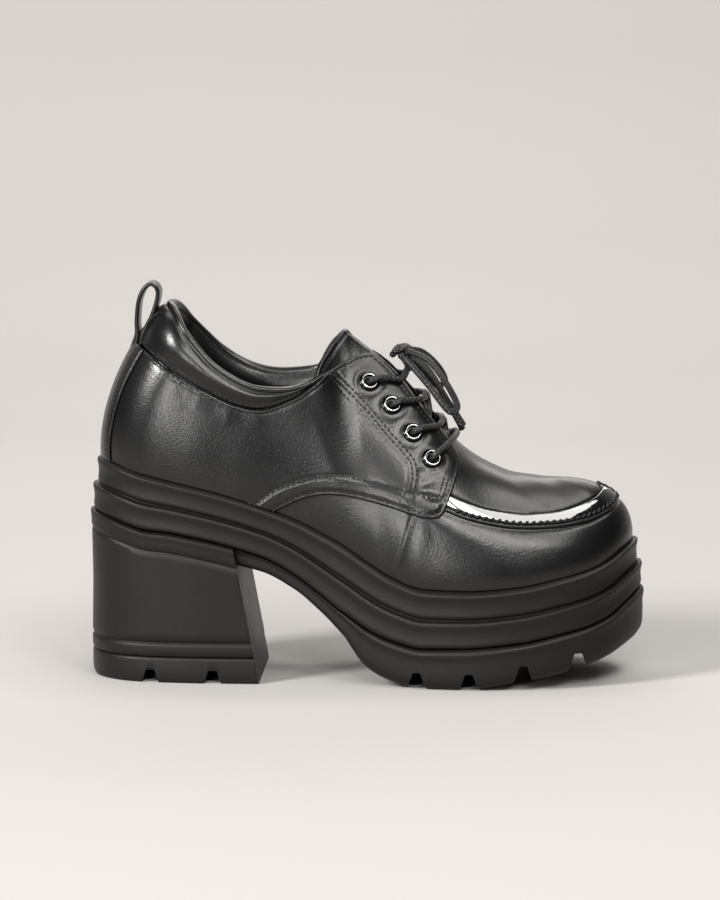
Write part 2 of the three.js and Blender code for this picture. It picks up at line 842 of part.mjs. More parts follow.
// Pull loop: a strap folded over itself and stitched to the top of the backstay
const loopOutside = table(
  ["at", "up"],
  [
    [0.084, 0.545],
    [0.087, 0.66],
    [0.0865, 0.74],
    [0.09, 0.81],
    [0.099, 0.87],
    [0.115, 0.905],
    [0.128, 0.885],
    [0.1325, 0.845],
    [0.127, 0.79],
    [0.117, 0.72],
    [0.109, 0.65],
    [0.104, 0.545],
  ],
);
const loopInside = table(
  ["at", "up"],
  [
    [0.1, 0.69],
    [0.0965, 0.76],
    [0.1, 0.825],
    [0.108, 0.868],
    [0.117, 0.882],
    [0.1245, 0.862],
    [0.1245, 0.825],
    [0.1165, 0.76],
    [0.107, 0.69],
  ],
);
const loopFoot = heelHeight - 7;
const loopHeight = (rows) => rows.map(({ at, up }) => [at * shoeLength, loopFoot + up * instepHeight]);
const strap = (rows, steps) => {
  const path = new THREE.CatmullRomCurve3(
    loopHeight(rows).map(([x, z]) => new THREE.Vector3(x, z, 0)),
    true,
  );
  return path.getPoints(steps).slice(1).map((p) => [p.x, p.y]);
};
const pullLoop = prism(strap(loopOutside, 26), -loopWidth / 2, loopWidth / 2)
  .subtract(prism(strap(loopInside, 16), -loopWidth, loopWidth))
  .subtract(skin(-loopWidth, collarThickness + gap));
add("pull_loop", pullLoop, leather);

for (const { side, number, seat, normal } of eyelets) {
  const profile = [
    [eyeletHole / 2, -barrelDepth],
    [barrelOuter, -barrelDepth],
    [barrelOuter, gap / 2],
    [eyeletOuter / 2, gap / 2],
    [eyeletOuter / 2 - 1.3, eyeletHeight],
    [eyeletHole / 2, eyeletHeight * 0.45],
    [eyeletHole / 2, -barrelDepth],
  ].map(([r, h]) => new THREE.Vector2(r, h));
  const lathe = standing(new THREE.LatheGeometry(profile, eyeletSides), seat, normal);
  add("eyelet_" + (side < 0 ? "outer_" : "inner_") + number, solid(lathe), metal);
}

// Lace: from each eyelet over the ridge to the next eyelet of the other side, and straight over at the foot
const laceRadius = laceDiameter / 2;

function tube(points, steps, corners) {
  const ring = [];
  for (let i = 0; i < corners; i++) {
    const turn = (i / corners) * 2 * Math.PI;
    ring.push(new THREE.Vector2(laceRadius * Math.cos(turn), laceRadius * Math.sin(turn)));
  }
  const extrudePath = new THREE.CatmullRomCurve3(points);
  return solid(new THREE.ExtrudeGeometry(new THREE.Shape(ring), { steps, extrudePath }));
}

const laceLift = gap + quarterThickness + laceRadius;
const laceRise = 0.6;

// Section whose ridge point lies nearest to a point
function ridgeSection(point) {
  let best = firstOnRidge;
  const distance = (u) => skinPoint(-1, u, 1, 0).distanceTo(point);
  for (let u = firstOnRidge; u < lastSection; u += 0.02) if (distance(u) < distance(best)) best = u;
  return best;
}

// From above an eyelet's hole over the facing to the ridge: part of the way, and height over the last
const overFacing = table(
  ["part", "lift"],
  [
    [0.25, laceLift + 2],
    [0.5, laceLift + 0.9],
    [0.75, laceLift - 0.4],
  ],
);
const overHole = ({ seat, normal }) => seat.clone().addScaledVector(normal, eyeletHeight + laceRadius + 0.8);
const halfBar = (eyelet, ridge) =>
  overFacing.map(({ part, lift }) =>
    skinPoint(
      eyelet.side,
      eyelet.u + (ridge - eyelet.u) * part,
      eyelet.t + (1 - eyelet.t) * part,
      lift,
    ),
  );

function bar(from, to, shared) {
  const ridge = ridgeSection(overHole(from).lerp(overHole(to), 0.5));
  const start = [overHole(from), ...halfBar(from, ridge)];
  const end = [overHole(to), ...halfBar(to, ridge)].reverse();
  const middle = skinPoint(-1, ridge, 1, laceRadius + laceRise);
  return tube([...start, middle, ...(shared ? end.slice(0, 2) : end)], 9, 5);
}

const eyeletAt = (side, number) => eyelets.find((e) => e.side === side && e.number === number);
for (const number of [1, 2, 3]) {
  const crossing = [-1, 1].map((side) => bar(eyeletAt(side, number), eyeletAt(-side, number + 1), true));
  add("lace_crossing_" + number, crossing[0].add(crossing[1]), waxed);
}
add("lace_bar", bar(eyeletAt(-1, eyeletRow.length), eyeletAt(1, eyeletRow.length), false), waxed);

// Bow: the knot on the ridge, a loop and an end on each side
const knotAt = [142, 0, 146.3];
const knotSize = 1.2 * laceDiameter;
const knot = new THREE.SphereGeometry(knotSize, 10, 6).scale(1.2, 1.25, 0.8);
add("lace_knot", solid(knot.translate(...place(...knotAt))), waxed);
const bow = {
  lace_loop_outer: [
    [144.9, -4.7, 147],
    [154, -11, 143.5],
    [162, -15.5, 134],
    [167.3, -16.5, 123.6],
    [163.5, -18.5, 121.5],
    [154, -15, 133],
    [144, -7.6, 143.6],
  ],
  lace_loop_inner: [
    [144.6, 4.9, 147],
    [151, 11, 145],
    [158, 16, 138],
    [161, 19, 131],
    [156, 19.5, 129.5],
    [149, 14.5, 138],
    [143, 7.8, 143.8],
  ],
  lace_end_outer: [
    [145.9, -2.2, 144.6],
    [153, -5, 138.5],
    [161, -8.5, 127.5],
    [169.8, -10.5, 114.5],
  ],
  lace_end_inner: [
    [145.9, 2.2, 144.6],
    [153.5, 7, 137.5],
    [161, 11.5, 125],
    [169, 14, 110],
  ],
};
for (const [name, points] of Object.entries(bow))
  add(name, tube(points.map(([x, y, z]) => place(x, y, z)), 8, 6), waxed);

export default group;
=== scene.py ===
import math

import bmesh
import bpy
import numpy as np
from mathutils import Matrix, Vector


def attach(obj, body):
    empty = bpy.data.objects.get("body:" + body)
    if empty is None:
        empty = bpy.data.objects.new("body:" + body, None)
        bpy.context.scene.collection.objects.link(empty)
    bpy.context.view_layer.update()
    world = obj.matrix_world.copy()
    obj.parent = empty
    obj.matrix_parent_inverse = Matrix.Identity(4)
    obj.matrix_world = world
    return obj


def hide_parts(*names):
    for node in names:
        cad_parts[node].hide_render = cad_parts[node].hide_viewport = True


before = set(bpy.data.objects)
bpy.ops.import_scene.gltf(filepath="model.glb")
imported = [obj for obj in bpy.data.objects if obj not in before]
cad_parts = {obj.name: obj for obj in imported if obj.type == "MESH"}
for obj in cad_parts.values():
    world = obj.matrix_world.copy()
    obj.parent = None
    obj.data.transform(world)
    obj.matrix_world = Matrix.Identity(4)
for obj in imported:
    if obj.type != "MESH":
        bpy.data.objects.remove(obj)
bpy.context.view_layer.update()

# The photograph's camera: a long lens, a little above the floor and a little to the toe's side.
# Its aim, height and lens follow the shoe's outline in the photograph.
camera_aim = Vector((0.082, 0, 0.1014))
camera_turn = math.radians(2.5)
camera_tilt = math.radians(7)
camera_distance = 1.7
camera_data = bpy.data.cameras.new("camera")
camera_data.sensor_fit = "HORIZONTAL"
camera_data.sensor_width = 36
camera_data.lens = 187.65
camera_data.clip_end = 20
camera = bpy.data.objects.new("camera", camera_data)
camera_way = Vector(
    (
        math.sin(camera_turn) * math.cos(camera_tilt),
        -math.cos(camera_turn) * math.cos(camera_tilt),
        math.sin(camera_tilt),
    )
)
camera.location = camera_aim + camera_way * camera_distance
camera.rotation_euler = camera_way.to_track_quat("Z", "Y").to_euler()
bpy.context.scene.collection.objects.link(camera)
bpy.context.scene.camera = camera

# The bow of the lace: a waxed round cord, with a loop and an end on each side of the knot.
# Each is a short free length that leaves the knot, with its solid's own route.
lace_size = 2.9
lace_radius = lace_size / 2
origin_x = 41.0


def at_part(points):
    """Points measured from the back of the sole, as the part's own frame has them."""
    return np.array(points, float) - [origin_x, 0, 0]


def catmull_rom(a, b, c, d, t):
    """The smooth curve between b and c, with a before them and d after."""
    return 0.5 * (2 * b + (c - a) * t + (2 * a - 5 * b + 4 * c - d) * t**2 + (3 * b - a - 3 * c + d) * t**3)


def smooth_rows(rows, steps):
    """A smooth line through rows of numbers, with the same steps between each two."""
    p = np.array(rows, float)
    p = np.vstack([2 * p[0] - p[1], p, 2 * p[-1] - p[-2]])
    t = np.linspace(0, 1, steps, endpoint=False)[:, None]
    line = [catmull_rom(a, b, c, d, t) for a, b, c, d in zip(p[:-3], p[1:-2], p[2:-1], p[3:])]
    return np.vstack([*line, p[-2:-1]])


def gone_along(line):
    """The way gone along a line, at each of its points."""
    return np.r_[0, np.cumsum(np.linalg.norm(np.diff(line, axis=0), axis=1))]


def between(at, far, values):
    """Rows of values at places along a line."""
    return np.stack([np.interp(at, far, values[:, k]) for k in range(values.shape[1])], -1)


def smooth_route(points, step):
    """A smooth line through points, with stations a step apart."""
    line = smooth_rows(points, 24)
    far = gone_along(line)
    count = max(int(round(far[-1] / step)), 2)
    return between(np.linspace(0, far[-1], count + 1), far, line)


def unit(v):
    return v / np.maximum(np.linalg.norm(v, axis=-1, keepdims=True), 1e-12)


def piece_of(name, verts, faces, smooth=True):
    """A mesh object from points in millimetres."""
    mesh = bpy.data.meshes.new(name)
    mesh.from_pydata((np.asarray(verts, float) / 1000).tolist(), [], [tuple(map(int, f)) for f in faces])
    mesh.update()
    if smooth:
        mesh.shade_smooth()
    piece = bpy.data.objects.new(name, mesh)
    bpy.context.scene.collection.objects.link(piece)
    return piece


def add_uv(piece, uv):
    """A UV for each vertex, in millimetres along and across."""
    layer = piece.data.uv_layers.new(name="along")
    corner = np.zeros(len(piece.data.loops), np.int32)
    piece.data.loops.foreach_get("vertex_index", corner)
    layer.data.foreach_set("uv", np.asarray(uv, np.float32)[corner].ravel())


def tube_faces(rings, count):
    """Faces between rings of the same count of points."""
    faces = []
    for r in range(rings - 1):
        for c in range(count):
            d = (c + 1) % count
            faces.append((r * count + c, r * count + d, (r + 1) * count + d, (r + 1) * count + c))
    return faces


def tube_ends(rings, count):
    """Faces that close the first and the last ring."""
    return [list(range(count)), list(range((rings - 1) * count, rings * count))[::-1]]


def cord_mesh(route, radius, corners=14):
    """Vertices, faces and UV of a round cord with domed ends."""
    tangent = unit(np.gradient(route, axis=0))
    side = np.zeros_like(route)
    side[0] = unit(np.cross(tangent[0], [0.3, 0.2, 1]))
    for i in range(1, len(route)):
        side[i] = unit(side[i - 1] - tangent[i] * (side[i - 1] @ tangent[i]))
    up = np.cross(tangent, side)
    turn = np.linspace(0, 2 * np.pi, corners, endpoint=False)
    dome = [(-0.9, 0.35), (-0.55, 0.8), (-0.15, 0.97)]
    rings, along = [], []
    gone = gone_along(route)
    stations = [(0, back * radius, scale) for back, scale in dome]
    stations += [(i, 0, 1) for i in range(1, len(route) - 1)]
    stations += [(len(route) - 1, -back * radius, scale) for back, scale in reversed(dome)]
    for i, shift, scale in stations:
        shift = np.clip(shift, -0.5 * radius, 0.5 * radius)
        centre = route[i] + tangent[i] * shift
        ring = np.cos(turn)[:, None] * side[i] + np.sin(turn)[:, None] * up[i]
        rings.append(centre + ring * radius * scale)
        along.append(gone[i] + shift)
    verts = np.vstack(rings)
    uv = [(a, radius * x) for a in along for x in turn]
    faces = tube_faces(len(rings), corners)
    faces += [end[::-1] for end in tube_ends(len(rings), corners)]
    return verts, faces, uv


def plain_material(name, colour, roughness, metallic=0.0):
    """A material with its Principled shader, and the node lists to add to."""
    material = bpy.data.materials.new(name)
    material.use_nodes = True
    nodes, links = material.node_tree.nodes, material.node_tree.links
    shader = nodes["Principled BSDF"]
    shader.inputs["Base Color"].default_value = (*colour, 1)
    shader.inputs["Roughness"].default_value = roughness
    shader.inputs["Metallic"].default_value = metallic
    return material, nodes, links, shader


def noise(nodes, links, scale, detail=2):
    """Noise in the piece's own coordinates."""
    texture = nodes.new("ShaderNodeTexNoise")
    texture.inputs["Scale"].default_value = scale
    texture.inputs["Detail"].default_value = detail
    place = nodes.new("ShaderNodeTexCoord")
    links.new(place.outputs["Object"], texture.inputs["Vector"])
    return texture.outputs["Fac"]


def bump(nodes, links, height, strength, distance, normal):
    """Raises a surface by a height, through the given Normal input."""
    node = nodes.new("ShaderNodeBump")
    node.inputs["Strength"].default_value = strength
    node.inputs["Distance"].default_value = distance
    links.new(height, node.inputs["Height"])
    links.new(node.outputs["Normal"], normal)


def spread_out(nodes, links, value, low, high, target, start=0, end=1):
    """Maps a value from start and end to low and high."""
    node = nodes.new("ShaderNodeMapRange")
    node.inputs["From Min"].default_value = start
    node.inputs["From Max"].default_value = end
    node.inputs["To Min"].default_value = low
    node.inputs["To Max"].default_value = high
    links.new(value, node.inputs["Value"])
    links.new(node.outputs["Result"], target)


# Waxed cord: a fine braid that follows the cord, under a dull shine
waxed_cord, nodes, links, shader = plain_material("waxed_cord", (0.008, 0.008, 0.0085), 0.42)
shader.inputs["Specular IOR Level"].default_value = 0.55
cord_uv = nodes.new("ShaderNodeUVMap")
cord_uv.uv_map = "along"
braid = []
for lean in (0.9, -0.9):
    turned = nodes.new("ShaderNodeMapping")
    turned.inputs["Rotation"].default_value = (0, 0, lean)
    links.new(cord_uv.outputs["UV"], turned.inputs["Vector"])
    wave = nodes.new("ShaderNodeTexWave")
    wave.inputs["Scale"].default_value = 0.23
    wave.inputs["Distortion"].default_value = 0.6
    wave.inputs["Detail Scale"].default_value = 1.2
    links.new(turned.outputs["Vector"], wave.inputs["Vector"])
    braid.append(wave)
braid_mix = nodes.new("ShaderNodeMath")
braid_mix.operation = "MAXIMUM"
links.new(braid[0].outputs["Fac"], braid_mix.inputs[0])
links.new(braid[1].outputs["Fac"], braid_mix.inputs[1])
bump(nodes, links, braid_mix.outputs["Value"], 0.9, 0.0004, shader.inputs["Normal"])
spread_out(nodes, links, braid_mix.outputs["Value"], 0.6, 0.3, shader.inputs["Roughness"])


def cord_piece(name, routes, radius):
    """One piece of one or more lengths of cord."""
    verts, faces, uvs = [], [], []
    for way in routes:
        cord_verts, cord_faces, cord_uvs = cord_mesh(way, radius)
        faces += [[i + len(verts) for i in face] for face in cord_faces]
        verts += cord_verts.tolist()
        uvs += cord_uvs
    piece = piece_of(name, verts, faces)
    add_uv(piece, uvs)
    piece.data.materials.append(waxed_cord)
    return piece


knot_at = at_part([142, 0, 146.3])
bow = {
    "lace_loop_outer": [
        (144.9, -4.7, 147), (154, -11, 143.5), (162, -15.5, 134), (167.3, -16.5, 123.6),
        (163.5, -18.5, 121.5), (154, -15, 133), (144, -7.6, 143.6),
    ],
    "lace_loop_inner": [
        (144.6, 4.9, 147), (151, 11, 145), (158, 16, 138), (161, 19, 131),
        (156, 19.5, 129.5), (149, 14.5, 138), (143, 7.8, 143.8),
    ],
    "lace_end_outer": [(145.9, -2.2, 144.6), (153, -5, 138.5), (161, -8.5, 127.5), (169.8, -10.5, 114.5)],
    "lace_end_inner": [(145.9, 2.2, 144.6), (153.5, 7, 137.5), (161, 11.5, 125), (169, 14, 110)],
}

# The knot: turns of the same cord, pulled tight round each other
knot_turns = [
    [
        (-4.2, -1.8, -1.2), (-2.2, -3.4, 0.8), (0.8, -3.6, 1.8), (3.2, -1.6, 1.6), (3.4, 1.6, 0.6),
        (1, 3.4, -0.2), (-1.8, 2.6, -0.4),
    ],
    [(-3.6, 2.2, -0.8), (-2.4, 0.4, 1.2), (-0.6, -1.2, 2.2), (1.6, -2.6, 1.2), (3.4, -3.2, -0.8)],
    [(-2.8, 3, 0.4), (0, 2.2, 1.9), (2.2, 0.4, 2.1), (3.8, -0.6, 0.2)],
    [(-0.6, -2.2, -0.4), (0.8, -3.9, -2.6), (2.6, -4.2, -5.2), (3.4, -2.6, -7), (3.2, -0.4, -7.6)],
    [(0.4, 1, -0.8), (1.2, 2.4, -3), (2.8, 2.2, -5.6), (3.2, 0.2, -6.6), (3, -1.6, -5.6)],
]
knot_routes = [smooth_route(np.array(turns) + knot_at, 0.5) for turns in knot_turns]
knot = cord_piece("bow_knot", knot_routes, lace_radius * 1.06)
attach(knot, "root")
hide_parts("lace_knot")

for name, points in bow.items():
    route = smooth_route(at_part(points), 0.7)
    cord = cord_piece(name.replace("lace", "bow"), [route], lace_radius)
    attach(cord, "root")
    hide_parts(name)

# The midsole: a moulded rubber platform with two full bands round the foot, each with a bead along its top.
# Its side view and its outline round the foot are the shoe's own sizes, in millimetres and shares of them.
shoe_length, ball_width, heel_height, platform_height = 250.0, 92.0, 100.0, 43.5
toe_spring, heel_length, instep_height, collar_height, vamp_height = 20.5, 80.0, 94.0, 78.0, 45.5
gap, wall, band_depth, band_step, groove_depth, welt_inset = 0.3, 2.0, 12.2, 2.0, 1.3, 2.2
quarter_thickness = 1.5
half_ball = ball_width / 2


def curve(rows, value, along=0):
    """Smooth curve through a column of a table, without overshoot."""
    rows = np.array(rows, float)
    x, y = rows[:, along], rows[:, value]
    slope = np.diff(y) / np.diff(x)
    lean = np.zeros(len(x))
    lean[0], lean[-1] = slope[0], slope[-1]
    a, b = slope[:-1], slope[1:]
    lean[1:-1] = np.where(a * b > 0, 2 * a * b / np.where(a + b == 0, 1, a + b), 0)

    def at(v):
        v = np.clip(np.asarray(v, float), x[0], x[-1])
        i = np.clip(np.searchsorted(x, v, side="right") - 1, 0, len(x) - 2)
        span = x[i + 1] - x[i]
        t = (v - x[i]) / span
        s = 1 - t
        ends = y[i] * s * s * (1 + 2 * t) + y[i + 1] * t * t * (1 + 2 * s)
        return ends + span * t * s * (lean[i] * s - lean[i + 1] * t)

    return at


# at, rise, spring, band, arch, lift
sole_line = [
    (0.0, 1.0, 0.0, 0.98, 0.86, 0.0),
    (0.04, 0.965, 0.0, 1.0, 0.86, 0.0),
    (0.1, 0.885, 0.0, 1.0, 0.86, 0.0),
    (0.16, 0.823, 0.0, 0.93, 0.86, 0.0),
    (0.24, 0.738, 0.0, 0.9, 0.86, 0.0),
    (0.32, 0.628, 0.0, 0.88, 0.866, 0.0),
    (0.38, 0.527, 0.0, 0.97, 0.845, 0.0),
    (0.43, 0.417, 0.0, 1.1, 0.78, 0.0),
    (0.465, 0.335, 0.0, 1.19, 0.675, 0.0),
    (0.508, 0.209, 0.0, 1.19, 0.32, 0.0),
    (0.56, 0.08, 0.0, 1.12, 0.11, 0.0),
    (0.612, 0.008, 0.0, 1.06, 0.0, 0.0),
    (0.684, 0.0, 0.0, 1.02, 0.0, 0.0),
    (0.78, 0.0, 0.09, 1.0, 0.0, 0.17),
    (0.852, 0.0, 0.26, 1.0, 0.0, 0.32),
    (0.908, 0.0, 0.42, 1.0, 0.0, 0.5),
    (0.944, 0.0, 0.595, 1.0, 0.0, 0.64),
    (0.968, 0.0, 0.78, 0.98, 0.0, 0.78),
    (1.0, 0.0, 1.0, 0.94, 0.0, 0.95),
]
rise, spring, band_share, arch, lift = (curve(sole_line, k) for k in range(1, 6))


def sole_top(at):
    return platform_height + (heel_height - platform_height) * rise(at) + toe_spring * spring(at)


def band_bottom(at, bands):
    return sole_top(at) - bands * band_depth * band_share(at)


def sole_under(at):
    return band_bottom(at, 2) * arch(at) + toe_spring * lift(at)


# Sections of the last from heel to toe, each with a number for every name
section_names = "at outer inner tuck topAt topOuter topInner topUp rise flare reach drop".split()
section_rows = [
    (0.0172, 0, 0, 1.2, 0.178, 0, 0, 0.955, 0.62, 0.03, 0.4, 0.3),
    (0.036, 0.37, 0.36, 1.2, 0.184, 0.19, 0.19, 0.95, 0.62, 0.05, 0.34, 0.34),
    (0.088, 0.61, 0.6, 0.9, 0.202, 0.36, 0.36, 0.938, 0.6, 0.06, 0.2, 0.4),
    (0.176, 0.7, 0.68, 0.8, 0.238, 0.47, 0.47, 0.92, 0.55, 0.06, 0.06, 0.5),
    (0.264, 0.72, 0.68, 0.8, 0.283, 0.52, 0.51, 0.905, 0.5, 0.05, 0.03, 0.55),
    (0.352, 0.725, 0.63, 0.8, 0.332, 0.52, 0.5, 0.888, 0.5, 0.04, 0.05, 0.55),
    (0.424, 0.745, 0.59, 0.8, 0.376, 0.47, 0.45, 0.87, 0.5, 0.04, 0.12, 0.5),
    (0.48, 0.79, 0.6, 0.6, 0.416, 0.33, 0.32, 0.85, 0.5, 0.05, 0.24, 0.4),
    (0.536, 0.865, 0.66, 0.3, 0.45, 0, 0, 0.826, 0.5, 0.06, 0.38, 0.22),
    (0.608, 0.96, 0.82, 0, 0.49, 0, 0, 0.725, 0.48, 0.08, 0.42, 0.12),
    (0.688, 1.015, 0.94, 0, 0.57, 0, 0, 0.545, 0.46, 0.09, 0.44, 0.04),
    (0.772, 1.01, 0.97, 0, 0.657, 0, 0, 0.209, 0.44, 0.08, 0.46, 0.02),
    (0.852, 0.92, 0.925, 0, 0.736, 0, 0, 0.05, 0.42, 0.07, 0.46, 0),
    (0.92, 0.73, 0.77, 0, 0.796, 0, 0, 0.009, 0.4, 0.05, 0.45, 0),
    (0.974, 0.37, 0.44, 0, 0.832, 0, 0, 0.002, 0.38, 0.03, 0.46, 0),
    (0.9936, -0.04, 0.04, 0, 0.848, 0, 0, 0.002, 0.37, 0.02, 0.48, 0),
]
section = {name: np.array([row[k] for row in section_rows], float) for k, name in enumerate(section_names)}
last_section = len(section_rows) - 1
first_on_ridge = 8


def column(name, u, mirror=None, sign=1):
    """A column between the sections, mirrored past the heel's back and the toe's middle."""
    here, other = section[name], section[mirror or name]
    values = np.r_[sign * other[1], here, sign * other[-2]]
    i = np.minimum(np.floor(u).astype(int), last_section - 1)
    return catmull_rom(*(values[i + k] for k in range(4)), u - i)


def both(name_outer, name_inner, side, u):
    return np.where(side < 0, column(name_outer, u, name_inner, -1), column(name_inner, u, name_outer, -1))


def outline(side, u, out=0.0):
    """Point of the shoe's outline, out from it, and the way out: side is -1 outer and 1 inner."""
    def point(v):
        return column("at", v) * shoe_length, side * half_ball * both("outer", "inner", side, v)

    x, y = point(u)
    step = 0.02
    x1, y1 = point(np.minimum(u + step, last_section))
    x0, y0 = point(np.maximum(u - step, 0))
    ax, ay = x1 - x0, y1 - y0
    size = np.hypot(ax, ay)
    nx, ny = -side * ay / size, side * ax / size
    back, toe = u <= 1e-9, u >= last_section - 1e-9
    nx = np.where(back, -1, np.where(toe, 1, nx))
    ny = np.where(back | toe, 0, ny)
    return x + nx * out, y + ny * out, nx, ny


def share(x):
    return np.clip(x / shoe_length, 0, 1)


def side_section(w):
    """Side and section of a place w round the shoe: 0 the heel's back, + by the outer side to the toe."""
    w = np.mod(np.asarray(w, float) + last_section, 2 * last_section) - last_section
    return np.where(w >= 0, -1.0, 1.0), np.abs(w)


loop_w = np.arange(0, 2 * last_section, 0.075)


def round_ring(out, height):
    """A ring round the whole shoe, out from its outline, at a height that follows its length."""
    side, u = side_section(loop_w)
    if callable(out):
        x, _, _, _ = outline(side, u)
        out = out(share(x))
    x, y, _, _ = outline(side, u, out)
    return np.stack([x - origin_x, y, height(share(x))], 1)


def face_outwards(piece):
    """Merges what coincides and turns every face of a closed piece outwards."""
    mesh = bmesh.new()
    mesh.from_mesh(piece.data)
    bmesh.ops.remove_doubles(mesh, verts=mesh.verts, dist=2e-6)
    bmesh.ops.dissolve_degenerate(mesh, edges=mesh.edges, dist=1e-7)
    bmesh.ops.recalc_face_normals(mesh, faces=mesh.faces)
    mesh.to_mesh(piece.data)
    mesh.free()
    piece.data.update()


def closed_piece(name, verts, faces, smooth=True):
    piece = piece_of(name, verts, faces, smooth)
    face_outwards(piece)
    return piece


def moulded(name, rings):
    """A piece from rings round the shoe, closed by strips across at both ends."""
    count = len(rings[0])
    verts = np.vstack(rings)
    faces = tube_faces(len(rings), count)
    for r, down in ((0, True), (len(rings) - 1, False)):
        for c in range(count // 2):
            quad = [c, c + 1, (count - c - 1) % count, (count - c) % count]
            quad = [r * count + k for k in dict.fromkeys(quad)]
            if len(quad) > 2:
                faces.append(tuple(reversed(quad)) if down else tuple(quad))
    return closed_piece(name, verts, faces)


# Moulded rubber: a fine matte skin with tiny speckles
def grain_group(name, scale, detail, depth):
    """Fine surface grain: a height and a mask, from the piece's own coordinates."""
    group = bpy.data.node_groups.new(name, "ShaderNodeTree")
    for label, value in (("Scale", scale), ("Fine", detail)):
        socket = group.interface.new_socket(label, in_out="INPUT", socket_type="NodeSocketFloat")
        socket.default_value = value
    given_out = [("Normal", "NodeSocketVector"), ("Mask", "NodeSocketFloat"), ("Patches", "NodeSocketFloat")]
    for label, kind in given_out:
        group.interface.new_socket(label, in_out="OUTPUT", socket_type=kind)
    n, l = group.nodes, group.links
    given, made = n.new("NodeGroupInput"), n.new("NodeGroupOutput")
    where = n.new("ShaderNodeTexCoord")
    cells = n.new("ShaderNodeTexVoronoi")
    fine, patches = n.new("ShaderNodeTexNoise"), n.new("ShaderNodeTexNoise")
    cells.feature = "SMOOTH_F1"
    fine.inputs["Detail"].default_value = 3
    patches.inputs["Scale"].default_value = 38
    patches.inputs["Detail"].default_value = 4
    for node in (cells, fine, patches):
        l.new(where.outputs["Object"], node.inputs["Vector"])
    l.new(given.outputs["Scale"], cells.inputs["Scale"])
    l.new(given.outputs["Fine"], fine.inputs["Scale"])
    added = n.new("ShaderNodeMath")
    added.operation = "MULTIPLY_ADD"
    added.inputs[1].default_value = 0.55
    l.new(cells.outputs["Distance"], added.inputs[0])
    l.new(fine.outputs["Fac"], added.inputs[2])
    bump(n, l, added.outputs["Value"], 0.5, depth, made.inputs["Normal"])
    l.new(fine.outputs["Fac"], made.inputs["Mask"])
    l.new(patches.outputs["Fac"], made.inputs["Patches"])
    return group


def grained(material_name, group, scale, fine, dark, light, rough_low, rough_high, use="Mask"):
    """A material whose colour and roughness vary with its grain."""
    material, nodes, links, shader = plain_material(material_name, dark, rough_low)
    grain = nodes.new("ShaderNodeGroup")
    grain.node_tree = group
    grain.inputs["Scale"].default_value = scale
    grain.inputs["Fine"].default_value = fine
    links.new(grain.outputs["Normal"], shader.inputs["Normal"])
    tone = nodes.new("ShaderNodeValToRGB")
    tone.color_ramp.elements[0].position = 0.35
    tone.color_ramp.elements[0].color = (*dark, 1)
    tone.color_ramp.elements[1].position = 0.75
    tone.color_ramp.elements[1].color = (*light, 1)
    links.new(grain.outputs[use], tone.inputs["Fac"])
    links.new(tone.outputs["Color"], shader.inputs["Base Color"])
    rough = shader.inputs["Roughness"]
    spread_out(nodes, links, grain.outputs["Patches"], rough_low, rough_high, rough, 0.3, 0.7)
    return material, shader


rubber_grain = grain_group("rubber_grain", 2600, 3400, 0.0001)
sole_rubber, shader = grained(
    "sole_rubber", rubber_grain, 2200, 3000, (0.0042, 0.004, 0.0038), (0.008, 0.0077, 0.0072), 0.42, 0.52
)
shader.inputs["Specular IOR Level"].default_value = 0.24

# One band of the moulding, from its top groove to the groove below: out, and part of the band down
band_rows = [
    (-1.35, 0.0), (-0.85, 0.035), (-0.1, 0.07), (0.42, 0.13), (0.5, 0.2), (0.28, 0.3), (0.02, 0.42),
    (-0.02, 0.58), (0.1, 0.72), (0.22, 0.84), (-0.05, 0.93), (-0.7, 0.985), (-1.3, 1.0),
]
top_band = [(0.4 - welt_inset - 1.4, -0.03), (0.2 - welt_inset, -0.005), (-0.9, 0.03), (-0.25, 0.07)]
top_band += [(out, down) for out, down in band_rows if 0.1 < down < 1]
second_band = [(band_step + out, 1 + down) for out, down in band_rows]
midsole_rows = smooth_rows(top_band, 3)
midsole_rows = np.vstack([midsole_rows[:-1], smooth_rows([(-groove_depth, 1.0), *second_band[2:]], 3)])
rings = [round_ring(-welt_inset - 1, lambda at: band_bottom(at, 2) + gap)]
lowest_level = 1.975
for out, down in midsole_rows[::-1]:
    level = min(down, lowest_level)
    rings.append(round_ring(out, lambda at, level=level: band_bottom(at, level)))
midsole = moulded("midsole_bands", rings)
midsole.data.materials.append(sole_rubber)
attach(midsole, "root")
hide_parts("midsole")

# The block heel: one moulded block, with a rib under the bands and a bead over its top lift.
# Its breast is a plane that leans forward to the floor.
top_lift_height, heel_rib_height, breast_lean, breast_back, upper_rib = 11.6, 6.6, 0.19, 0.6, 9.0
tread_out = band_step + 1.2


def breast_at(z):
    return heel_length - breast_back - z * breast_lean


def cutter(name, points, low=-100, high=100):
    """A side view outline pushed across the shoe, to cut with."""
    p = np.array(points, float) - [origin_x, 0]
    n = len(p)
    verts = [(x, low, z) for x, z in p] + [(x, high, z) for x, z in p]
    faces = [tuple(range(n)), tuple(reversed(range(n, 2 * n)))]
    faces += [(i, i + n, (i + 1) % n + n, (i + 1) % n) for i in range(n)]
    return closed_piece(name, verts, faces, smooth=False)


def apply_modifiers(piece):
    done = bpy.data.meshes.new_from_object(piece.evaluated_get(bpy.context.evaluated_depsgraph_get()))
    piece.modifiers.clear()
    old = piece.data
    piece.data = done
    bpy.data.meshes.remove(old)


def cut(piece, tool, way):
    """Cuts a piece by a tool for good, and takes the tool away."""
    boolean = piece.modifiers.new("cut", "BOOLEAN")
    boolean.operation = way
    boolean.solver = "EXACT"
    boolean.object = tool
    apply_modifiers(piece)
    bpy.data.objects.remove(tool)


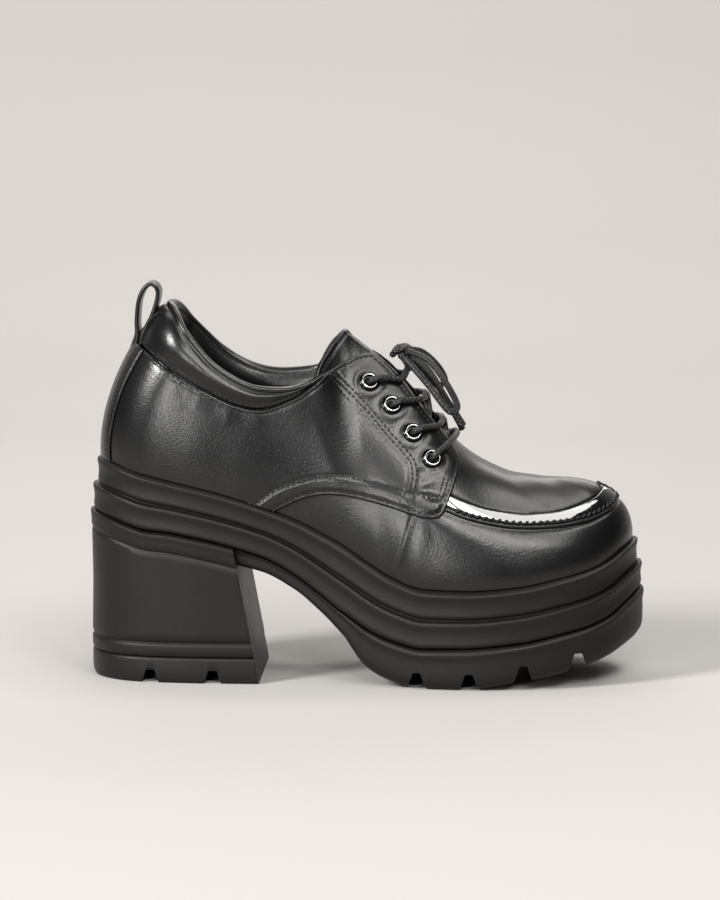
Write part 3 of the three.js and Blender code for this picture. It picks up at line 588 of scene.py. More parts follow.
def edge_finish(piece, width, angle=35):
    """Rounds what a cut left sharp and keeps the flats flat."""
    bevel = piece.modifiers.new("edge", "BEVEL")
    bevel.width = width / 1000
    bevel.segments = 2
    bevel.limit_method = "ANGLE"
    bevel.angle_limit = math.radians(angle)
    bevel.harden_normals = False
    apply_modifiers(piece)


heel_rows = [
    (-0.6, "low", gap), (0, "low", 1.2), (0.15, "low", 2.6), (0.15, "low", 4.4),
    (0.1, "low", heel_rib_height - 1.2), (-0.35, "low", heel_rib_height - 0.5),
    (-0.95, "low", heel_rib_height), (-0.4, "low", heel_rib_height + 0.7),
    (0, "low", heel_rib_height + 1.6), (0.05, "low", heel_rib_height + 4), (-0.3, "mix", 0.5),
    (0, "high", upper_rib + 3), (0, "high", upper_rib + 1.1), (-0.5, "high", upper_rib + 0.3),
    (-0.7, "high", upper_rib - 0.1), (-0.1, "high", upper_rib - 0.8), (0.25, "high", upper_rib - 1.6),
    (0.3, "high", 5), (0.35, "high", 3.2), (0.6, "high", 2.2), (0.45, "high", 1.3), (-0.4, "high", 0.65),
    (-1.5, "high", 0.35),
]


def heel_level(kind, value):
    if kind == "low":
        return lambda at: np.full(np.shape(at), top_lift_height + value)
    if kind == "high":
        return lambda at: band_bottom(at, 2) - value
    low_rib = top_lift_height + heel_rib_height
    return lambda at: value * low_rib + (1 - value) * (band_bottom(at, 2) - upper_rib)


rings = [round_ring(tread_out + out, heel_level(kind, value)) for out, kind, value in heel_rows]
heel = moulded("heel_block_moulding", rings)
behind, below, above, far = -20, -5, 150, 400
breast_plane = [(behind, below), (breast_at(below), below), (breast_at(above), above), (behind, above)]
cut(heel, cutter("tool", breast_plane), "INTERSECT")
edge_finish(heel, 0.5)
heel.data.materials.append(sole_rubber)
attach(heel, "root")
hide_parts("heel_block")

# The top lift under the heel: harder rubber with two cross grooves and a rounded back corner.
# It is moulded on its own and bonded under the heel block.
groove_corner = 0.9


def groove_tool(at, floor, depth, top_width, bottom_width):
    x, k = at * shoe_length, groove_corner / 2
    half_top, half_bottom = top_width / 2, bottom_width / 2
    arc = [(half_top + k, depth - 2 * k), (half_top + 0.6 * k, depth - 0.6 * k), (half_top - k, depth)]
    right = [(half_bottom + 0.5, below), (half_bottom + 0.5, -0.4), (half_bottom, 0.7), *arc]
    left = [(-dx, dz) for dx, dz in reversed(right)]
    return cutter("tool", [(x + dx, floor + dz) for dx, dz in right + left])


lift_rows = [
    (-1.6, 0), (-0.7, 0.18), (-0.2, 0.6), (0, 1.3), (0, 5), (0, top_lift_height - 1.5),
    (-0.15, top_lift_height - 0.7), (-0.55, top_lift_height - 0.2), (-1.2, top_lift_height),
]
rings = [round_ring(tread_out + out, lambda at, z=z: np.full(np.shape(at), z)) for out, z in lift_rows]
top_lift = moulded("heel_lift_moulding", rings)
lift_corner = 3.2
corner_cut = [(0.25, 2.2), (0.4, 1.5), (0.69, 0.875), (1.05, 0.4), (1.5, 0.06), (1.63, -0.3)]
cut(top_lift, cutter("tool", [
    (breast_at(0), -0.3 * lift_corner), (breast_at(above), above), (behind, above), (behind, top_lift_height),
    *[(forward * lift_corner, up * lift_corner) for forward, up in corner_cut],
]), "INTERSECT")
for at in (0.121, 0.234):
    cut(top_lift, groove_tool(at, 0, 5.9, 3.5, 7.2), "DIFFERENCE")
edge_finish(top_lift, 0.45)
top_lift.data.materials.append(sole_rubber)
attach(top_lift, "root")
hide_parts("heel_top_lift")

# The forepart outsole: the third band, deep under the ball and the toe, with lugs cut by cross grooves.
# It is moulded rubber, bonded under the midsole from the heel's breast to the toe.
tread_step = curve([(0.28, -1.6), (0.42, -1), (0.5, 1.4), (0.56, 2.6), (0.8, 3), (1, 3)], 1)


def tread_ring(inset, part):
    def out(at):
        return tread_step(at) - inset

    def level(at):
        return sole_under(at) + part * (band_bottom(at, 2) - gap - sole_under(at))

    return round_ring(out, level)


tread_rows = [
    (5.5, 0.0), (4.2, 0.003), (3.0, 0.015), (2.0, 0.04), (1.2, 0.08), (0.6, 0.13), (0.2, 0.2), (0, 0.3),
    (0, 0.42), (0, 0.56), (0.05, 0.66), (0.0, 0.74), (-0.35, 0.82), (-0.5, 0.87), (-0.3, 0.925),
    (0.4, 0.965), (1.3, 0.99), (2.4, 1.0),
]
outsole = moulded("outsole_lugs", [tread_ring(inset, part) for inset, part in tread_rows])
cut(outsole, cutter("tool", [
    (breast_at(above) + gap, above), (breast_at(below) + gap, below), (far, below), (far, above),
]), "INTERSECT")
for at in (0.6, 0.6935, 0.79, 0.887):
    cut(outsole, groove_tool(at, float(sole_under(at)), 7.4, 3, 8), "DIFFERENCE")
edge_finish(outsole, 0.5, 40)
outsole.data.materials.append(sole_rubber)
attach(outsole, "root")
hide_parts("forepart_outsole")

# The insole: a thin leather-topped footbed that lies in the upper's foot.
# It is cut from a sheet, its rim is rounded, and it is glued down inside.
foot_tuck = welt_inset + column("tuck", side_section(loop_w)[1]) * quarter_thickness
rings = []
for inset, up in [(0.4, 0.3), (0, 0.7), (0, 2.7), (0.5, 3.2), (1.4, 3.3)]:
    rings.append(round_ring(-foot_tuck - wall - 2 * gap - inset, lambda at, up=up: sole_top(at) + up))
insole = moulded("footbed", rings)
leather_grain = grain_group("leather_grain", 900, 1250, 0.00013)
lining_leather, shader = grained(
    "lining_leather", leather_grain, 1500, 3200, (0.006, 0.006, 0.0063), (0.012, 0.0115, 0.0115), 0.6, 0.75
)
insole.data.materials.append(lining_leather)
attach(insole, "root")
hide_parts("insole")

# The upper: smooth black leather pulled over a last, one hollow shell with vamp, plug and the quarters' base.
# It is open at the collar, the throat and the eyelets' holes, and its foot is bonded to the midsole.
top_height, toe_top = heel_height + collar_height, platform_height + vamp_height


def top_half(side, u):
    half = np.maximum(both("topOuter", "topInner", side, u), 0)
    return np.where(u > first_on_ridge - 0.01, 0, half)


# The last's half width at the top, eased where its two sides come together on the ridge
eased_at = np.linspace(0, last_section, 601)
ease_reach, ease_steps = 2.4, 60


def averaged(values, spread, mode):
    """Values at the eased places, each averaged with its neighbours over a soft spread."""
    steps = np.arange(-ease_steps, ease_steps + 1) * (eased_at[1] - eased_at[0])
    weights = np.exp(-((steps / spread) ** 2) / 2)
    return np.convolve(np.pad(values, ease_steps, mode=mode), weights / weights.sum(), mode="valid")


eased_half = {}
for sign in (-1, 1):
    exact = top_half(np.full(len(eased_at), float(sign)), eased_at)
    spread = averaged(exact, 0.42, "edge")
    share_near = np.clip(1 - np.abs(eased_at - first_on_ridge) / ease_reach, 0, 1)
    share_near = share_near * share_near * (3 - 2 * share_near)
    eased_half[sign] = exact + (spread - exact) * np.minimum(share_near * 1.6, 1)


# The bends of the last's ribs from section to section, eased so that no crease shows between them
rib_names = ("flare", "rise", "reach", "drop")
eased_ribs = {name: averaged(column(name, eased_at), 0.34, "reflect") for name in rib_names}


def rib(name, u):
    return np.interp(u, eased_at, eased_ribs[name])[..., None]


def last_point(side, u, t):
    """Point of the last's outside, from the back of the sole: t runs up the section's rib."""
    tuck = welt_inset + column("tuck", u) * quarter_thickness
    x, y, nx, ny = outline(side, u, -tuck)
    foot = np.stack([x, y, sole_top(share(x)) + gap], -1)
    exact = top_half(side, u)
    eased = np.where(side < 0, np.interp(u, eased_at, eased_half[-1]), np.interp(u, eased_at, eased_half[1]))
    close = np.clip((t - 0.72) / 0.28, 0, 1)
    half = eased + (exact - eased) * close * close * (3 - 2 * close)
    top_z = toe_top + column("topUp", u) * (top_height - toe_top)
    top = np.stack([column("topAt", u) * shoe_length, side * half * half_ball, top_z], -1)
    out = np.stack([nx, ny, np.zeros_like(nx)], -1) * half_ball
    up = np.array([0, 0, half_ball])
    first = foot + out * rib("flare", u) + up * rib("rise", u)
    second = top + out * rib("reach", u) - up * rib("drop", u)
    t = t[..., None]
    s = 1 - t
    return foot * s**3 + first * 3 * s * s * t + second * 3 * s * t * t + top * t**3


def last_normal(side, u, t):
    step = 0.01
    u0, u1 = np.maximum(u - step, 0), np.minimum(u + step, last_section)
    across = last_point(side, u1, t) - last_point(side, u0, t)
    up = last_point(side, u, np.minimum(t + step, 1)) - last_point(side, u, np.maximum(t - step, 0))
    normal = np.cross(across, up) * -side[..., None]
    ridge = (t > 0.999) & (u > first_on_ridge - 0.01)
    one = np.ones_like(u)
    along = last_point(side, u1, one) - last_point(side, np.maximum(u0, first_on_ridge), one)
    flat = np.stack([-along[..., 2], np.zeros_like(u), along[..., 0]], -1)
    normal = np.where(ridge[..., None], flat, normal)
    middle = (u <= 1e-9) | (u >= last_section - 1e-9)
    normal[..., 1] = np.where(middle, 0, normal[..., 1])
    return unit(normal)


def surface(params, out=0.0):
    """Points on the last, out from it, in the part's frame, and their normals."""
    side, u = side_section(params[:, 0])
    normal = last_normal(side, u, params[:, 1])
    point = last_point(side, u, params[:, 1]) + normal * np.reshape(out, (-1, 1))
    return point - [origin_x, 0, 0], normal


def patch(places, heights):
    """A grid on the last, joined where its two sides meet on the ridge."""
    w, t = np.meshgrid(places, heights, indexing="ij")
    params = np.stack([w.ravel(), t.ravel()], 1)
    i, j = np.meshgrid(np.arange(len(places) - 1), np.arange(len(heights) - 1), indexing="ij")
    a = (i * len(heights) + j).ravel()
    b, c, d = a + len(heights), a + len(heights) + 1, a + 1
    tris = np.vstack([np.stack([a, b, c], 1), np.stack([a, c, d], 1)])
    return joined_patch(params, tris)


def joined_patch(params, tris):
    where = np.round(surface(params)[0], 3) + 0.0
    _, first, back = np.unique(where, axis=0, return_index=True, return_inverse=True)
    back = back.ravel()
    tris = back[tris]
    good = (tris[:, 0] != tris[:, 1]) & (tris[:, 1] != tris[:, 2]) & (tris[:, 0] != tris[:, 2])
    return params[first], tris[good]


def same_turn(w, near):
    """The same place round the shoe, counted on or back to lie near another."""
    return w + 2 * last_section * np.round((near - w) / (2 * last_section))


def split(params, tris, field, level, keep_all=True):
    """Cuts triangles along a level of a field, and drops what is under it unless all is kept."""
    value = field(params) - level
    value = np.where(np.abs(value) < 1e-6, 1e-6, value)
    over = value > 0
    count = over[tris].sum(1)
    kept = [tris[count == 3]]
    if keep_all:
        kept.append(tris[count == 0])
    made, cutting, points = [], {}, []
    total = len(params)

    def crossing(a, b):
        key = (a, b) if a < b else (b, a)
        if key not in cutting:
            k = value[a] / (value[a] - value[b])
            pa, pb = params[a].copy(), params[b].copy()
            pb[0] = same_turn(pb[0], pa[0])
            if abs(pb[0] - pa[0]) > 1:
                ridge = pa if pa[1] > 0.999 else pb
                ridge[0] = -ridge[0]
                pb[0] = same_turn(pb[0], pa[0])
            points.append(pa + (pb - pa) * k)
            cutting[key] = total + len(points) - 1
        return cutting[key]

    for tri in tris[(count == 1) | (count == 2)]:
        lone = 1 if over[tri].sum() == 1 else 0
        k = int(np.argmax(over[tri] == bool(lone)))
        a, b, c = (int(tri[(k + m) % 3]) for m in range(3))
        ab, ca = crossing(a, b), crossing(c, a)
        if lone or keep_all:
            made.append((a, ab, ca))
        if not lone or keep_all:
            made += [(ab, b, c), (ab, c, ca)]
    tris = np.vstack([*kept, np.array(made, int).reshape(-1, 3)])
    return np.vstack([params, np.array(points).reshape(-1, 2)]), tris


def trimmed(params, tris, field, edges=()):
    params, tris = split(params, tris, field, 0, keep_all=False)
    for level in edges:
        params, tris = split(params, tris, field, level)
    used, back = np.unique(tris, return_inverse=True)
    return params[used], back.reshape(-1, 3)


def leather_shell(name, params, tris, outer, inner, place=surface):
    """A closed piece of leather on the last, between two distances from it."""
    top, _ = place(params, outer)
    low, _ = place(params, inner)
    n = len(params)
    edge = np.vstack([tris[:, [0, 1]], tris[:, [1, 2]], tris[:, [2, 0]]])
    key = np.sort(edge, 1)
    _, index, count = np.unique(key, axis=0, return_index=True, return_counts=True)
    rim = edge[index[count == 1]]
    faces = tris.tolist() + (tris[:, ::-1] + n).tolist()
    faces += [(b, a, a + n, b + n) for a, b in rim.tolist()]
    return closed_piece(name, np.vstack([top, low]), faces)


def side_view(params):
    point, _ = surface(params)
    return point + [origin_x, 0, 0]


def from_sides(a, b, q):
    """Distance of side view points from the nearest of the straight lines from a to b."""
    ab = b - a
    d = q[:, None] - a
    h = np.clip((d * ab).sum(-1) / np.maximum((ab**2).sum(1), 1e-12), 0, 1)
    return np.linalg.norm(d - ab * h[..., None], axis=-1).min(1)


def from_line(line, p):
    """Side view distance to an open line."""
    return from_sides(line[:-1], line[1:], p[:, [0, 2]])


def inside_distance(polygon, points):
    """How far points lie inside a side view outline: less than 0 outside it."""
    a = np.array(polygon, float)
    b = np.roll(a, -1, 0)
    ab = b - a
    found = []
    for q in np.array_split(points[:, [0, 2]], max(len(points) // 20000, 1)):
        far = from_sides(a, b, q)
        above = (a[:, 1] > q[:, 1:2]) != (b[:, 1] > q[:, 1:2])
        drop = np.where(np.abs(ab[:, 1]) < 1e-12, 1e-12, ab[:, 1])
        crossing = q[:, :1] < a[:, 0] + ab[:, 0] * (q[:, 1:2] - a[:, 1]) / drop
        inside = (above & crossing).sum(1) % 2 == 1
        found.append(np.where(inside, far, -far))
    return np.concatenate(found)


def line_up(rows, k=1):
    """Side view points of rows of at and up, over the sole's top edge."""
    return [(row[0] * shoe_length, float(sole_top(row[0])) + row[k] * instep_height) for row in rows]


def rounded(points, count):
    p = np.column_stack([np.array(points, float), np.zeros(len(points))])
    far = np.linalg.norm(np.diff(p, axis=0), axis=1).sum()
    return smooth_route(p, far / count)[:, :2]


def edge_roll(d, radius):
    """Height of a folded edge: 0 on the edge, 1 from its radius inwards."""
    k = 1 - np.clip(d / radius, 0, 1)
    return np.sqrt(np.maximum(1 - k * k, 0))


def trough(d, at, width):
    return np.exp(-(((d - at) / width) ** 2))


# at, outerUp, innerUp of the top edge
top_line = [
    (-0.05, 0.78, 0.78), (0.1, 0.81, 0.81), (0.15, 0.826, 0.826), (0.165, 0.806, 0.81),
    (0.183, 0.737, 0.75), (0.21, 0.664, 0.69), (0.235, 0.61, 0.645), (0.27, 0.573, 0.61),
    (0.304, 0.562, 0.603), (0.338, 0.581, 0.62), (0.373, 0.621, 0.66), (0.407, 0.691, 0.715),
    (0.428, 0.75, 0.765),
]
facing_top = [(0.432, 0.762), (0.476, 0.889), (0.51, 0.967), (0.527, 0.972)]
facing_front = [
    (0.527, 0.972), (0.544, 0.96), (0.561, 0.93), (0.592, 0.86), (0.62, 0.783), (0.656, 0.672),
    (0.671, 0.605), (0.6735, 0.577), (0.667, 0.508), (0.659, 0.439), (0.649, 0.37), (0.64, 0.342),
]
quarter_foot = [
    (0.63, 0.337), (0.606, 0.339), (0.551, 0.33), (0.489, 0.269), (0.448, 0.215), (0.418, 0.168),
    (0.387, 0.103), (0.346, 0.005),
]
collar_seam = [
    (-0.05, 0.66), (0.04, 0.63), (0.102, 0.594), (0.168, 0.514), (0.217, 0.473), (0.272, 0.446),
    (0.322, 0.469), (0.373, 0.565), (0.407, 0.665), (0.427, 0.738),
]
throat_half_width, throat_end = 13.0, 0.648 * shoe_length
facing_gap = np.array([
    (118, 13), (124, 8.5), (128, 5.5), (136, 4.5), (141, 7), (148, 10.5), (156, 12.5), (165, 13),
])
sky = {
    k: np.vstack([
        rounded(line_up(top_line, k), 60), rounded(line_up(facing_top), 16),
        [(0.6 * shoe_length, float(sole_top(0.6)) + 1.3 * instep_height), (far, far), (-50, far)],
    ])
    for k in (1, 2)
}


def under_sky(p):
    outer, inner = (-inside_distance(sky[k], p) for k in (1, 2))
    return np.where(p[:, 1] < 0, outer, inner)


def off_throat(half_width, end, p):
    """How far a point lies outside the throat, seen from above."""
    tip_length = 0.6 * half_width
    tip = end - tip_length
    ahead = np.maximum(p[:, 0] - tip, 0) / tip_length
    across = np.abs(p[:, 1]) / half_width
    oval = (np.hypot(ahead, across) - 1) * half_width * 0.8
    return np.where(p[:, 2] > platform_height + vamp_height / 2, oval, 50)


# at, up of the apron's raised seam and of the plug's edge inside it
seam_width = 1.5
apron_seam = [
    (0.6, 0.43), (0.649, 0.377), (0.694, 0.333), (0.749, 0.29), (0.795, 0.264), (0.853, 0.235), (0.88, 0.229),
    (0.912, 0.223), (0.94, 0.223), (0.955, 0.227), (0.962, 0.236), (1.0, 0.25),
]
apron_plug = [
    (0.6, 0.52), (0.658, 0.445), (0.695, 0.403), (0.733, 0.366), (0.784, 0.332), (0.818, 0.316),
    (0.85, 0.303), (0.882, 0.302), (0.913, 0.308), (0.926, 0.32), (0.931, 0.34), (0.933, 0.5),
]
seam_low = rounded(line_up(apron_seam), 70)
seam_high = seam_low + [0, seam_width]
plug_edge = rounded(line_up(apron_plug), 70)
beyond_toe = (1.05 * shoe_length, float(sole_top(1)) + 0.5 * instep_height)
band_outline = np.vstack([seam_high + [0, gap], [beyond_toe], plug_edge[::-1]])
plug_outline = np.vstack([plug_edge, [(0.93 * shoe_length, far), (0.6 * shoe_length, far)]])
low_outline = np.vstack([seam_low, [(1.05 * shoe_length, 0), (0.5 * shoe_length, 0)]])


def find_on_last(sign, points):
    """Places on one side of the last that show at side view points."""
    w, t = np.meshgrid(np.arange(0.05, last_section, 0.12), np.linspace(0.01, 0.99, 90), indexing="ij")
    grid = np.stack([sign * w.ravel(), t.ravel()], 1)
    seen = side_view(grid)[:, [0, 2]]
    points = np.asarray(points, float)
    found = np.array([grid[np.argmin(((seen - p) ** 2).sum(1))] for p in points])
    step = 1e-3
    for _ in range(8):
        at = side_view(found)[:, [0, 2]]
        dw = (side_view(found + [step, 0])[:, [0, 2]] - at) / step
        dt = (side_view(found - [0, step])[:, [0, 2]] - at) / -step
        miss = points - at
        det = dw[:, 0] * dt[:, 1] - dw[:, 1] * dt[:, 0]
        det = np.where(np.abs(det) < 1e-6, 1e-6, det)
        found[:, 0] += np.clip((miss[:, 0] * dt[:, 1] - miss[:, 1] * dt[:, 0]) / det, -0.1, 0.1)
        found[:, 1] += np.clip((dw[:, 0] * miss[:, 1] - dw[:, 1] * miss[:, 0]) / det, -0.03, 0.03)
        found[:, 1] = np.clip(found[:, 1], 0.002, 0.998)
    return found


eyelet_row = [(0.511, 0.837), (0.552, 0.795), (0.59, 0.71), (0.624, 0.606)]
seats = {sign: find_on_last(sign, line_up(eyelet_row)) for sign in (1, -1)}
hole_middles = surface(np.vstack([seats[1], seats[-1]]))[0] + [origin_x, 0, 0]
hole_radius = 3.5


def off_holes(p):
    """How far a point lies outside the eyelets' holes."""
    near = np.full(len(p), 50.0)
    for middle in hole_middles:
        near = np.minimum(near, np.linalg.norm(p - middle, axis=1) - hole_radius)
    return near


def upper_field(params):
    p = side_view(params)
    return np.minimum.reduce([under_sky(p), off_throat(throat_half_width + 2, throat_end, p), off_holes(p)])


def upper_height(params):
    """Relief of the upper: the plug's rounded edge, and the vamp drawn in under the apron's seam."""
    p = side_view(params)
    plug = inside_distance(plug_outline, p)
    vamp = inside_distance(low_outline, p)
    height = 0.7 * edge_roll(np.maximum(plug, 0), 5) * (plug > 0)
    height -= 0.7 * trough(plug, -0.4, 0.6)
    height += 0.35 * trough(vamp, 6, 5) - 0.45 * trough(vamp, 0.4, 0.8)
    return height


whole = patch(np.arange(-last_section, last_section + 0.01, 0.0625), np.linspace(0, 1, 101))
params, tris = trimmed(*whole, upper_field, (0.6,))
upper = leather_shell("upper_leather", params, tris, upper_height(params), -wall)
black_leather, shader = grained(
    "black_leather", leather_grain, 900, 1250, (0.0034, 0.0034, 0.0036), (0.0058, 0.0057, 0.0058), 0.25, 0.31,
    use="Patches",
)
shader.inputs["Specular IOR Level"].default_value = 0.41
upper.data.materials.append(black_leather)
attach(upper, "root")
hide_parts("upper")

# The quarters: two flat-cut leather overlays with folded edges, from the collar's seam down to the sole.
# Their facings hold the eyelets, and a double row of stitches marks the stay behind them.
quarter_line = np.vstack([
    rounded(line_up(collar_seam), 60), rounded(line_up(facing_top), 16)[1:],
    rounded(line_up(facing_front), 60)[1:], rounded(line_up(quarter_foot), 50),
])
quarter_outline = np.vstack([quarter_line, [(0.33 * shoe_length, 20), (-20, 20)]])
second_row = np.array([
    (74, 76), (78.2, 80.7), (86.5, 86.9), (96.7, 91.0), (106.9, 93.4), (117.2, 93.5), (127.4, 91.5),
    (142.7, 88.0), (149.1, 86.1), (160.5, 83.2),
])
stay_row = np.array([
    (110.7, 137.6), (119.3, 129), (127.9, 120.5), (136.5, 110.8), (145, 101.8), (147.2, 98.5), (147.7, 93),
    (146.7, 87.7), (145.3, 81.2),
])
second_line, stay_line = rounded(second_row, 60), rounded(stay_row, 50)

# Soft wrinkles: short puckers that hang from the collar's seam, and slanting ones where the
# laces draw the facing's foot. A pucker has its place along the seam, its length and its height.
pucker_rows = [
    (9, 5, 0.05), (22, 7, -0.06), (35, 5, 0.05), (46, 6, -0.05), (58, 5.5, 0.06), (66, 6, -0.07),
    (74, 7, 0.1), (81.5, 6, -0.08), (88, 7, 0.12), (94, 6, -0.08), (100, 5, 0.09),
]
seam_line = rounded(line_up(collar_seam), 200)
seam_far = gone_along(seam_line)
seam_way = unit(np.gradient(seam_line, axis=0))
wrinkles = []
for far_along, length, height in pucker_rows:
    start, way = (between(far_along, seam_far, values) for values in (seam_line, seam_way))
    down = np.array([way[1], -way[0]])
    wrinkles.append((np.array([start + 2.4 * down, start + length * down + 1.2 * way]), 2.1, height))
for line, height in [
    ([(151, 95), (156.5, 96.8), (161, 96)], 0.2), ([(153, 90.5), (158, 92), (163, 91)], -0.22),
    ([(149, 87), (155, 87.6), (161, 86.6)], 0.24), ([(151, 83), (156, 83.2)], -0.18),
    ([(144, 84.6), (147, 80.4)], 0.16),
]:
    wrinkles.append((np.array(line, float), 1.3, height))


def wrinkled(p):
    """Height of the wrinkles at side view points."""
    return sum(height * np.exp(-((from_line(line, p) / width) ** 2)) for line, width, height in wrinkles)


def facing_field(params):
    p = side_view(params)
    width = np.interp(p[:, 0], facing_gap[:, 0], facing_gap[:, 1])
    throat = off_throat(width, 0.7 * shoe_length, p)
    return np.minimum.reduce([inside_distance(quarter_outline, p), throat, off_holes(p) + 2])


def quarter_height(params, d):
    p = side_view(params)
    lined = from_line(second_line, p)
    line_height = np.interp(p[:, 0], second_row[:, 0], second_row[:, 1])
    below_line = (p[:, 2] < line_height) & (p[:, 0] > 74) & (p[:, 0] < 161)
    stay = from_line(stay_line, p)
    height = gap / 2 + quarter_thickness * edge_roll(d, 1.0)
    height -= 0.2 * trough(d, 1.9, 0.5)
    height += np.where(below_line, 0.45 * edge_roll(lined, 2.4) * edge_roll(np.maximum(d - 2.2, 0), 1.5), 0)
    height -= 0.25 * trough(lined, 0, 0.6) + 0.22 * trough(stay, 0, 0.5) + 0.22 * trough(stay, 1.9, 0.5)
    height += wrinkled(p) * edge_roll(d, 1.5) - 0.3 * trough(off_holes(p), 2.6, 1.2)
    return height


leather_grid = np.r_[np.arange(0, 6, 0.055), np.arange(6, 11.6, 0.045)]
for side_name, sign in (("outer", 1), ("inner", -1)):
    whole = patch(sign * leather_grid[::sign], np.linspace(0, 0.999, 112))
    params, tris = trimmed(*whole, facing_field, (0.12, 0.35, 0.7, 1.1))
    d = np.maximum(facing_field(params), 0)
    height = quarter_height(params, d)
    quarter = leather_shell("quarter_" + side_name + "_leather", params, tris, height, 0.05)
    quarter.data.materials.append(black_leather)
    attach(quarter, "root")
    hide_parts("quarter_" + side_name)

# The lining: thin dark leather inside the quarters, seen through the mouth.
# It is sewn in under the collar and stops beside the tongue.
tongue_rim = [(0.41, 0.62), (0.4165, 0.7), (0.425, 0.779), (0.4376, 0.861), (0.4488, 0.936), (0.4664, 1.014),
              (0.476, 1.036), (0.492, 1.05)]
tongue_foot = [(0.7, 1.05), (0.7, 0.36), (0.64, 0.48), (0.56, 0.66), (0.5, 0.69), (0.44, 0.62)]
tongue_outline = np.vstack([rounded(line_up(tongue_rim), 60), line_up(tongue_foot)])
lining_front = 0.5 * shoe_length


def lining_field(params):
    p = side_view(params)
    clear_of_tongue = -inside_distance(tongue_outline, p) - 1
    return np.minimum.reduce([under_sky(p) - 1.2, clear_of_tongue, lining_front - p[:, 0]])


whole = patch(np.arange(-9.5, 9.51, 0.1), np.linspace(0.06, 1, 80))
params, tris = trimmed(*whole, lining_field)
lining = leather_shell("lining", params, tris, -wall - 0.08, -wall - 0.75)
lining.data.materials.append(lining_leather)
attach(lining, "root")

# The collar: a soft padded roll of the same leather, from its seam over the top edge and down inside.
# Each column of the last gets one closed section, so the roll thins out where the collar ends in front.
seam_side_line, collar_end = rounded(line_up(collar_seam), 120), 7.2
top_side_line = {k: rounded(line_up(top_line, k), 160) for k in (1, 2)}
# share of the height from the seam, millimetres added to it, height over the last
collar_outside = [
    (0, 0.2, 0.7), (0, 1.0, 1.25), (0, 2.2, 1.3), (0.06, 2.6, 1.75), (0.16, 2.4, 2.6), (0.3, 1.8, 3.2),
    (0.45, 1.0, 3.5), (0.6, 0, 3.5), (0.75, -0.4, 3.15), (0.88, -1.0, 2.45), (1, -2.6, 1.75), (1, -2.0, 1.35),
    (1, -1.5, 1.6), (1, -0.8, 1.85), (1, 0, 1.8), (1, 0.6, 1.35), (1, 0.9, 0.6),
]
collar_inside = [
    (0.95, -0.4), (0.75, -1.5), (0.1, -2.3), (-0.8, -2.6), (-1.9, -2.65), (-2.6, -2.95), (-4.5, -3.7),
    (-8, -4.3), (-13, -4.1), (-18, -3.4), (-21, -2.8), (-21, -2.75), (-12, -2.75), (-3, -2.1),
    (0.2, -2.05), (0.25, 0.05),
]


def first_over(places, line_of):
    """For each place round the last, the height t where it first rises over a side view line."""
    heights = np.linspace(0.15, 1, 341)
    w, t = np.meshgrid(places, heights, indexing="ij")
    seen = side_view(np.stack([w.ravel(), t.ravel()], 1))
    over = np.empty(w.size)
    for k in (1, 2):
        line = line_of(k)
        on = (w.ravel() > 0) == (k == 1)
        over[on] = seen[on, 2] - np.interp(seen[on, 0], line[:, 0], line[:, 1])
    over = over.reshape(w.shape)
    index = np.argmax(over > 0, axis=1)
    rows = np.arange(len(places))
    a, b = over[rows, index - 1], over[rows, index]
    return heights[index - 1] + (heights[index] - heights[index - 1]) * a / (a - b)


places = np.r_[-np.linspace(0, collar_end, 170)[:0:-1], np.linspace(0, collar_end, 170)]
seam_t = first_over(places, lambda k: seam_side_line)
top_t = first_over(places, lambda k: top_side_line[k])
here = surface(np.stack([places, top_t], 1))[0]
below = surface(np.stack([places, top_t - 0.01], 1))[0]
t_per_mm = 0.01 / np.linalg.norm(here - below, axis=1)
seam_here = surface(np.stack([places, seam_t], 1))[0]
collar_width = np.linalg.norm(here - seam_here, axis=1)
fullness = np.clip(collar_width / 10, 0.1, 1)
rings = []
for part, added, out in collar_outside:
    t = seam_t + (top_t - seam_t) * part + added * np.where(added < 0.15, 1, fullness) * t_per_mm
    rings.append(surface(np.stack([places, t], 1), out * fullness**0.5)[0])
for added, out in collar_inside:
    rings.append(surface(np.stack([places, top_t + added * t_per_mm], 1), out)[0])
verts = np.array(rings).transpose(1, 0, 2).reshape(-1, 3)
faces = tube_faces(len(places), len(rings)) + tube_ends(len(places), len(rings))
collar = closed_piece("padded_collar", verts, faces)
collar.data.materials.append(black_leather)
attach(collar, "root")
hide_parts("collar")

# The backstay: a leather strip with folded edges, up the middle of the heel to the collar's seam.
# It is sewn down over both quarters with one row of stitches along each edge.
backstay_width, backstay_lift, backstay_thickness = 32.0, 1.75, 1.3


def backstay_field(params):
    p = side_view(params)
    return np.minimum.reduce([
        backstay_width / 2 - np.abs(p[:, 1]),
        np.interp(p[:, 0], seam_side_line[:, 0], seam_side_line[:, 1]) - 0.3 - p[:, 2],
        60 - p[:, 0],
    ])


whole = patch(np.arange(-4, 4.01, 0.08), np.linspace(0, 0.95, 100))
params, tris = trimmed(*whole, backstay_field, (0.15, 0.4, 0.8, 1.2))
d = np.maximum(backstay_field(params), 0)
height = backstay_lift + backstay_thickness * edge_roll(d, 1.3) - 0.25 * trough(d, 2.1, 0.5)
backstay = leather_shell("backstay_strip", params, tris, height, backstay_lift)
backstay.data.materials.append(black_leather)
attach(backstay, "root")
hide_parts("backstay")

